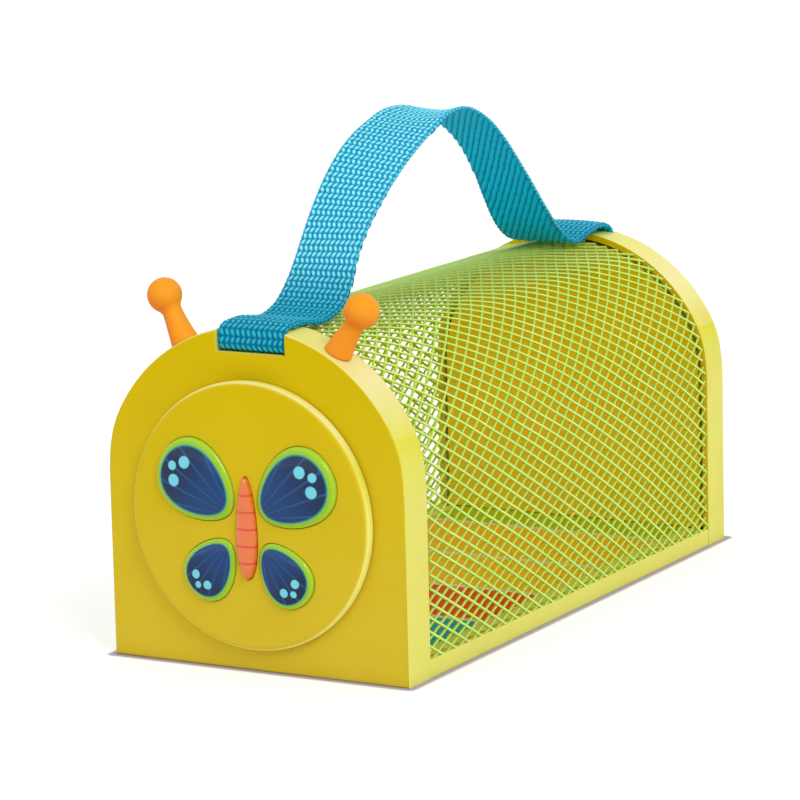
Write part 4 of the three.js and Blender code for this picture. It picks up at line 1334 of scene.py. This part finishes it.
class BUGHOUSE_OT_fixings(PieceOperator):
    """Builds the strap clamps, the door's cap and every screw"""

    bl_idname = "bug_house.fixings"
    bl_label = "Fixings"

    def build(self, sizes, colours):
        plain = nylon()
        held = {"front_strap_clamp": HOUSE, "back_strap_clamp": HOUSE, "door_cap": DOOR}
        for node, body in held.items():
            keep_moulding(node, f"{node}_moulding", plain, sizes.edge_round / 2, body, "clamp")
        metal = zinc()
        for body, name in ((HOUSE, "house_screws"), (DOOR, "door_pin_screw")):
            nodes = [n for n in frame["record"]["behaviour"]["bodies"][body] if "screw" in n]
            sheet = ScrewSheet("Screws", {
                "Head Radius": 2.4 * MM,
                "Head Height": 1.2 * MM,
                "Shank Radius": 1.1 * MM,
                "Recess": 0.85 * MM,
            })
            sheet.shape(metal)
            keep(sheet.grow(name, self.seats(nodes)), body, "steel", *nodes)

    @staticmethod
    def seats(nodes):
        """A point at the head of each screw of the frame, with its axis and its shank's length."""
        bm = bmesh.new()
        axis = bm.verts.layers.float_vector.new("axis")
        shank = bm.verts.layers.float.new("shank")
        for node in nodes:
            low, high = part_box(node)
            middle, spans = (low + high) / 2, high - low
            if spans.z > spans.y:
                head, out = Vector((middle.x, middle.y, low.z)), Vector((0, 0, -1))
            else:
                sign = 1 if middle.y < house_middle() else -1
                head = Vector((middle.x, high.y if sign > 0 else low.y, middle.z))
                out = Vector((0, sign, 0))
            vert = bm.verts.new(head)
            vert[axis] = out
            vert[shank] = max(spans)
        return bm


# Stage

class BUGHOUSE_OT_stage(bpy.types.Operator):
    """Builds the pale floor, the suns, the surround and the camera"""

    bl_idname = "bug_house.stage"
    bl_label = "Stage"

    def execute(self, context):
        settings = context.scene.bug_house_stage
        context.scene.view_settings.view_transform = "Standard"
        self.floor(settings.contact_shadow)
        self.surround(context, settings.sky)
        self.sun("key", (0.75, -0.45, 0.75), 24, settings.key)
        self.sun("fill", (-0.5, -1.0, 0.55), 60, settings.fill)
        self.camera(context, settings)
        return {"FINISHED"}

    @staticmethod
    def floor(contact_shadow):
        """A white floor with a painted shadow: a thin dark line round the foot of the house."""
        bm = bmesh.new()
        bmesh.ops.create_grid(bm, x_segments=1, y_segments=1, size=6)
        floor = new_piece("stage_floor", bm)
        finish = Finish("Floor", Roughness=0.9, Specular_IOR_Level=0.1)
        sideways, along, _ = finish.axes(finish.place())
        middle = house_middle()
        low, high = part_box("front_shell")
        beside = finish.maths("MAXIMUM", abs(sideways) - high.x, 0)
        beyond = finish.maths("MAXIMUM", abs(along - middle) - (middle - low.y), 0)
        # A painted shadow darkens the floor in a thin line round the foot of the house.
        out_of_shadow = finish.soft_step((beside ** 2 + beyond ** 2) ** 0.5, contact_shadow, contact_shadow)
        base = finish.mix(out_of_shadow, (0.44, 0.39, 0.5, 1), (0.9, 0.89, 0.9, 1))
        finish.feed(finish.shader.inputs["Base Color"], base)
        glow = finish.node("ShaderNodeEmission", None, {"Color": (1, 1, 1, 1), "Strength": 1.7})
        seen = finish.node("ShaderNodeLightPath", output="Is Camera Ray")
        lit = Wire(finish, finish.shader.outputs[0])
        mixed = finish.node("ShaderNodeMixShader", None, {0: seen * out_of_shadow * 0.3, 1: lit, 2: glow})
        finish.feed(finish.tree.nodes["Material Output"].inputs[0], mixed)
        floor.data.materials.append(finish.material)

    @staticmethod
    def surround(context, strength):
        """A plain sky of a given strength that looks pure white to the camera."""
        world = bpy.data.worlds.new("Surround")
        world.use_nodes = True
        context.scene.world = world
        sheet = Sheet(world.node_tree)
        paths = ("Is Camera Ray", "Is Glossy Ray", "Is Transmission Ray")
        camera, glossy, passed = [sheet.node("ShaderNodeLightPath", output=path) for path in paths]
        seen = sheet.maths("MINIMUM", camera + glossy + passed, 1)
        background = world.node_tree.nodes["Background"]
        background.inputs["Color"].default_value = (1, 1, 1, 1)
        sheet.feed(background.inputs["Strength"], seen * (1 - strength) + strength)

    @staticmethod
    def sun(name, source, spread, strength):
        """A sun that shines from the direction of the source point."""
        data = bpy.data.lights.new(name, "SUN")
        data.angle = math.radians(spread)
        data.energy = strength
        sun = bpy.data.objects.new(name, data)
        sun.rotation_euler = Vector(source).to_track_quat("Z", "Y").to_euler()
        bpy.context.scene.collection.objects.link(sun)

    @staticmethod
    def camera(context, settings):
        """The camera looks at the house from its front right, a little above."""
        data = bpy.data.cameras.new("camera")
        data.lens = settings.lens
        data.clip_end = 20
        camera = bpy.data.objects.new("camera", data)
        context.scene.collection.objects.link(camera)
        context.scene.camera = camera
        yaw, pitch = math.radians(settings.yaw), math.radians(settings.pitch)
        level = math.cos(pitch)
        back = Vector((math.sin(yaw) * level, -math.cos(yaw) * level, math.sin(pitch)))
        turned = Matrix.Rotation(math.radians(settings.roll), 3, back)
        right = turned @ Vector((math.cos(yaw), math.sin(yaw), 0))
        up = back.cross(right)
        place = back * settings.distance - right * settings.offset_right - up * settings.offset_up
        place.y += house_middle()
        camera_axes = Matrix((right, up, back)).transposed().to_4x4()
        camera.matrix_world = Matrix.Translation(place) @ camera_axes


class BUGHOUSE_PT_panel(bpy.types.Panel):
    """Lists the pieces and their settings in the sidebar"""

    bl_idname = "BUGHOUSE_PT_panel"
    bl_label = "Bug House"
    bl_space_type = "VIEW_3D"
    bl_region_type = "UI"
    bl_category = "Bug House"

    def draw(self, context):
        column = self.layout.column(align=True)
        for operator in OPERATORS:
            column.operator(operator.bl_idname)
        for name in GROUPS:
            group = getattr(context.scene, name)
            box = self.layout.box()
            for setting in group.__annotations__:
                box.prop(group, setting)


OPERATORS = (
    BUGHOUSE_OT_stage,
    BUGHOUSE_OT_ends,
    BUGHOUSE_OT_base,
    BUGHOUSE_OT_mesh,
    BUGHOUSE_OT_strap,
    BUGHOUSE_OT_door,
    BUGHOUSE_OT_inserts,
    BUGHOUSE_OT_antennae,
    BUGHOUSE_OT_fixings,
)
GROUPS = {
    "bug_house": BugHouseSizes,
    "bug_house_colours": BugHouseColours,
    "bug_house_stage": BugHouseStage,
}


def register():
    for name, group in GROUPS.items():
        bpy.utils.register_class(group)
        setattr(bpy.types.Scene, name, PointerProperty(type=group))
    for shown in (*OPERATORS, BUGHOUSE_PT_panel):
        bpy.utils.register_class(shown)


def unregister():
    for shown in (BUGHOUSE_PT_panel, *reversed(OPERATORS)):
        bpy.utils.unregister_class(shown)
    for name, group in GROUPS.items():
        delattr(bpy.types.Scene, name)
        bpy.utils.unregister_class(group)


def main():
    register()
    for operator in OPERATORS:
        family, action = operator.bl_idname.split(".")
        getattr(getattr(bpy.ops, family), action)()


if __name__ == "__main__":
    main()
